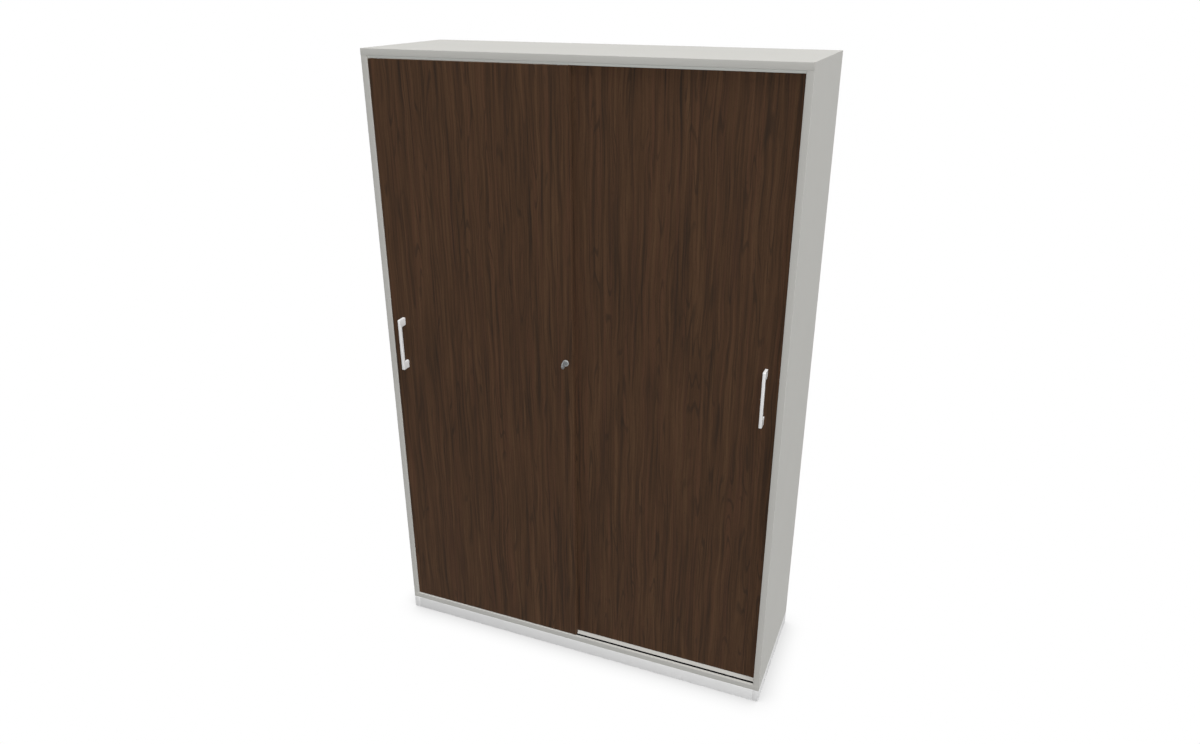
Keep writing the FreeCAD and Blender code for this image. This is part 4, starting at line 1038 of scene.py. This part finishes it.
class CABINET_OT_fittings(bpy.types.Operator):
    """Build the wheels, guide pins, shelf pins and screws, and finish the other steel parts"""

    bl_idname = "cabinet.fittings"
    bl_label = "Fittings"

    def execute(self, context):
        given = context.scene.cabinet_fittings
        steel = metal("bright_zinc", given.steel)
        coat_nodes(["lock_cam", "lock_keeper", *(f"{door}_roller_axles" for door in DOORS)], steel)
        nylon = plastic("wheel_nylon", given.wheel)
        for door in DOORS:
            for end in ENDS:
                self.wheel(given, f"{door}_door_wheel_{end}", nylon)
                self.guide_pin(given, door, f"{door}_door_pin_{end}", steel)
            self.handle_screws(door, steel)
        self.keeper_screws(steel)
        self.cam_screw(steel)
        self.shelf_pins(given, steel)
        return {"FINISHED"}

    def wheel(self, given, name, material):
        """A turned ring: round tread, web set back between the rim and the hub."""
        low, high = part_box(name)
        radius, half = (high.x - low.x) / 2, (high.y - low.y) / 2
        tread, web = given.tread_round, given.web_recess - half
        hub, web_start, web_end, rim = [part * radius for part in (0.32, 0.37, 0.76, 0.81)]
        face = [
            (-half, given.wheel_bore + tread / 4), (-half, hub), (web, web_start), (web, web_end),
            (-half, rim), (-half, radius - tread),
            *arc((tread - half, radius), (-half, radius - tread))[-2::-1],
        ]
        stations = face + [(-distance, size) for distance, size in face[::-1]]
        make_piece(
            f"{name}_tyre", [turned(stations, centre_of(low, high), Y, sides=72, closed=True)],
            name, material, [name],
        )

    def guide_pin(self, given, door, name, material):
        """A turned pin with a domed tip, and a square peg with round edges."""
        low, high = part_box(name)
        radius, reach = (high.x - low.x) / 2, high.z - low.z
        dome, chamfer = given.pin_dome, 0.15 * radius
        centre = (low.x + radius, low.y + radius, low.z)
        stations = [(0, 0), (0, radius - chamfer), (chamfer, radius),
                    *arc((reach - dome, radius), (reach, 0), steps=8)]
        half, door_top = given.peg / 2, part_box(f"{door}_door_edge_bands")[1].z
        middle, peg_round = door_top - given.peg_drop, 0.2 * half
        peg = rounded_box((centre[X] - half, centre[Y], middle - half),
                          (centre[X] + half, high.y, middle + half), peg_round)
        make_piece(f"{name}_with_peg", [turned(stations, centre, Z, sides=32), peg], name,
                   material, [name])

    def handle_screws(self, door, material):
        """Two screws through the panel, with their heads behind it."""
        low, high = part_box(f"{door}_handle_screws")
        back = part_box(f"{door}_door_panel")[1].y
        radius = (high.x - low.x) / 2 * HEXAGON
        head, shank = (radius, high.y - back), (radius / 2, back - low.y)
        places = [((low.x + high.x) / 2, back, z) for z in (low.z + radius, high.z - radius)]
        make_piece(
            f"{door}_handle_fixings", [screw(place, Y, 1, head, shank) for place in places],
            f"{door}_door", material, [f"{door}_handle_screws"],
        )

    def keeper_screws(self, material):
        """Two screws through the keeper's plate into the door's edge."""
        low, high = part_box("lock_keeper_screws")
        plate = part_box("lock_keeper")[0].x
        radius = (high.y - low.y) / 2 * HEXAGON
        head, shank = (radius, plate - low.x), (radius / 2, high.x - plate)
        places = [(plate, (low.y + high.y) / 2, z) for z in (low.z + radius, high.z - radius)]
        make_piece(
            "keeper_fixings", [screw(place, X, -1, head, shank) for place in places],
            "right_door", material, ["lock_keeper_screws"],
        )

    def cam_screw(self, material):
        """The screw that holds the cam on the plug's tenon."""
        low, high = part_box("lock_cam_screw")
        cam_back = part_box("lock_cam")[1].y
        radius = (high.z - low.z) / 2
        head, shank = (radius, high.y - cam_back), (radius * CAM_SHANK, cam_back - low.y)
        make_piece("cam_fixing", [screw(centre_of(low, high, cam_back), Y, 1, head, shank)],
                   "lock_plug", material, ["lock_cam_screw"])

    def shelf_pins(self, given, material):
        """Turned pins, two at each end of every shelf, with a groove and a domed tip."""
        radius, seat, reach = given.shelf_pin, given.shelf_pin_seat, given.shelf_pin_reach
        chamfer, groove, dome = 0.2 * radius, 0.92 * radius, 0.3 * radius
        stations = [
            (-seat, 0), (-seat, radius - chamfer), (chamfer - seat, radius), (0, radius),
            (dome, groove), (2 * dome, radius),
            *arc((reach - dome, radius), (reach, 0), steps=4),
        ]
        partition_low, partition_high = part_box("centre_partition")
        faces = {
            "left": ((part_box("left_side")[1].x, 1), (partition_low.x, -1)),
            "right": ((partition_high.x, 1), (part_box("right_side")[0].x, -1)),
        }
        corner = radius / HEXAGON
        rows_low, rows_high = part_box("shelf_pins")
        pins = []
        for name in SHELVES:
            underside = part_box(name)[0].z
            for face, sign in faces[name.split("_")[0]]:
                looking = [(sign * distance, size) for distance, size in stations]
                for y in (rows_low.y + corner, rows_high.y - corner):
                    pins.append(turned(looking, (face, y, underside - radius), X, sides=20))
        make_piece("shelf_support_pins", pins, "carcass", material,
                   ["shelf_pins"])


# Stage ---------------------------------------------------------------------------------------

def seen_rays(tree):
    """1 for camera, glossy and transmission rays, 0 for the rays that light the object."""
    path = put(tree, "ShaderNodeLightPath").outputs
    seen = math_of(tree, "MAXIMUM", path["Is Camera Ray"], path["Is Glossy Ray"])
    return math_of(tree, "MAXIMUM", seen, path["Is Transmission Ray"])


def floor_material(stage):
    """A pale floor that is seen as white, darker only where the object comes close to it: its
    light is 1 - depth * (2 * (1 - a)) ** falloff, where a is the open part of the space over
    it."""
    falloff = 1.5
    made = bpy.data.materials.new("pale_floor")
    made.use_nodes = True
    tree = made.node_tree
    tree.nodes.clear()
    # painted contact shadow: ambient occlusion darkens the white emission that camera, glossy and
    # transmission rays see
    near = put(tree, "ShaderNodeAmbientOcclusion", {"Distance": stage.contact_reach}, samples=16)
    shade = math_of(tree, "MULTIPLY_ADD", near.outputs["AO"], -2.0, 2.0)
    shade = math_of(tree, "POWER", shade, falloff)
    light = math_of(tree, "MULTIPLY_ADD", shade, -stage.contact_depth, 1.0)
    white = put(tree, "ShaderNodeEmission", {"Strength": light})
    pale = put(tree, "ShaderNodeBsdfDiffuse", {"Color": opaque(stage.floor)})
    mixed = put(tree, "ShaderNodeMixShader", {0: seen_rays(tree), 1: pale.outputs[0],
                                              2: white.outputs[0]})
    put(tree, "ShaderNodeOutputMaterial", {"Surface": mixed.outputs[0]})
    return made


def world_light(stage):
    """A white surrounding that is seen at full white and lights the object more softly."""
    world = bpy.data.worlds.new("studio")
    world.use_nodes = True
    tree = world.node_tree
    strength = put(
        tree, "ShaderNodeMapRange",
        {"Value": seen_rays(tree), "To Min": stage.sky_strength, "To Max": 1.0},
    )
    background = tree.nodes["Background"]
    background.inputs["Color"].default_value = (1, 1, 1, 1)
    tree.links.new(strength.outputs["Result"], background.inputs["Strength"])
    return world


def lamp(context, name, height, side, strength, shadow=True):
    """A round lamp at a height over the floor, turned from the front to the right. strength is
    the light that it throws on the object: its power over pi and its distance squared."""
    stage = context.scene.cabinet_stage
    light = bpy.data.lights.new(name, "AREA")
    light.shape = "DISK"
    light.size = 2 * stage.lamp_distance * math.tan(stage.softness / 2)
    light.energy = strength * math.pi * stage.lamp_distance ** 2
    light.use_shadow = shadow
    holder = bpy.data.objects.new(name, light)
    towards = Vector((math.cos(height) * math.sin(side), -math.cos(height) * math.cos(side),
                      math.sin(height)))
    holder.location = Vector((0, 0, stage.lamp_aim)) + stage.lamp_distance * towards
    holder.rotation_euler = towards.to_track_quat("Z", "Y").to_euler()
    context.scene.collection.objects.link(holder)
    return holder


class CABINET_OT_stage(bpy.types.Operator):
    """Set up the floor, the studio light and the camera"""

    bl_idname = "cabinet.stage"
    bl_label = "Stage"

    def execute(self, context):
        stage = context.scene.cabinet_stage
        side = stage.floor_side / 2
        mesh = bpy.data.meshes.new("floor")
        mesh.from_pydata([(-side, -side, 0), (side, -side, 0), (side, side, 0), (-side, side, 0)],
                         [], [(0, 1, 2, 3)])
        mesh.materials.append(floor_material(stage))
        floor = bpy.data.objects.new("floor", mesh)
        context.scene.collection.objects.link(floor)

        context.scene.world = world_light(stage)
        key = (stage.key_height, stage.key_side)
        lamp(context, "key_light", *key, stage.key_strength * stage.key_shadow)
        lamp(context, "fill_light", *key, stage.key_strength * (1 - stage.key_shadow), False)
        lamp(context, "back_light", stage.back_height, stage.back_side,
             stage.back_strength).visible_glossy = False

        camera = bpy.data.cameras.new("camera")
        camera.lens = stage.camera_lens
        holder = bpy.data.objects.new("camera", camera)
        holder.location = stage.camera_place
        holder.rotation_euler = stage.camera_turn
        context.scene.collection.objects.link(holder)
        context.scene.camera = holder
        context.scene.view_settings.view_transform = "Standard"
        return {"FINISHED"}


# Registration --------------------------------------------------------------------------------

OPERATORS = (
    CABINET_OT_stage,
    CABINET_OT_boards,
    CABINET_OT_doors,
    CABINET_OT_carcass_bands,
    CABINET_OT_plinth,
    CABINET_OT_tracks,
    CABINET_OT_handles,
    CABINET_OT_lock,
    CABINET_OT_fittings,
)


class CABINET_PT_pieces(bpy.types.Panel):
    """Buttons for the cabinet's pieces and stage"""

    bl_idname = "CABINET_PT_pieces"
    bl_label = "Sliding Door Cabinet"
    bl_space_type = "VIEW_3D"
    bl_region_type = "UI"
    bl_category = "Cabinet"

    def draw(self, context):
        for operator in OPERATORS:
            self.layout.operator(operator.bl_idname)
        for name, group in SETTINGS.items():
            column = self.layout.column(heading=group.__doc__)
            for key in group.__annotations__:
                column.prop(getattr(context.scene, name), key)


def register():
    for group in SETTINGS.values():
        bpy.utils.register_class(group)
    for operator in OPERATORS:
        bpy.utils.register_class(operator)
    bpy.utils.register_class(CABINET_PT_pieces)
    for name, group in SETTINGS.items():
        setattr(bpy.types.Scene, name, PointerProperty(type=group))


def unregister():
    for name in SETTINGS:
        delattr(bpy.types.Scene, name)
    bpy.utils.unregister_class(CABINET_PT_pieces)
    for operator in reversed(OPERATORS):
        bpy.utils.unregister_class(operator)
    for group in reversed(SETTINGS.values()):
        bpy.utils.unregister_class(group)


def main():
    register()
    for operator in OPERATORS:
        group, action = operator.bl_idname.split(".")
        getattr(getattr(bpy.ops, group), action)()


if __name__ == "__main__":
    main()
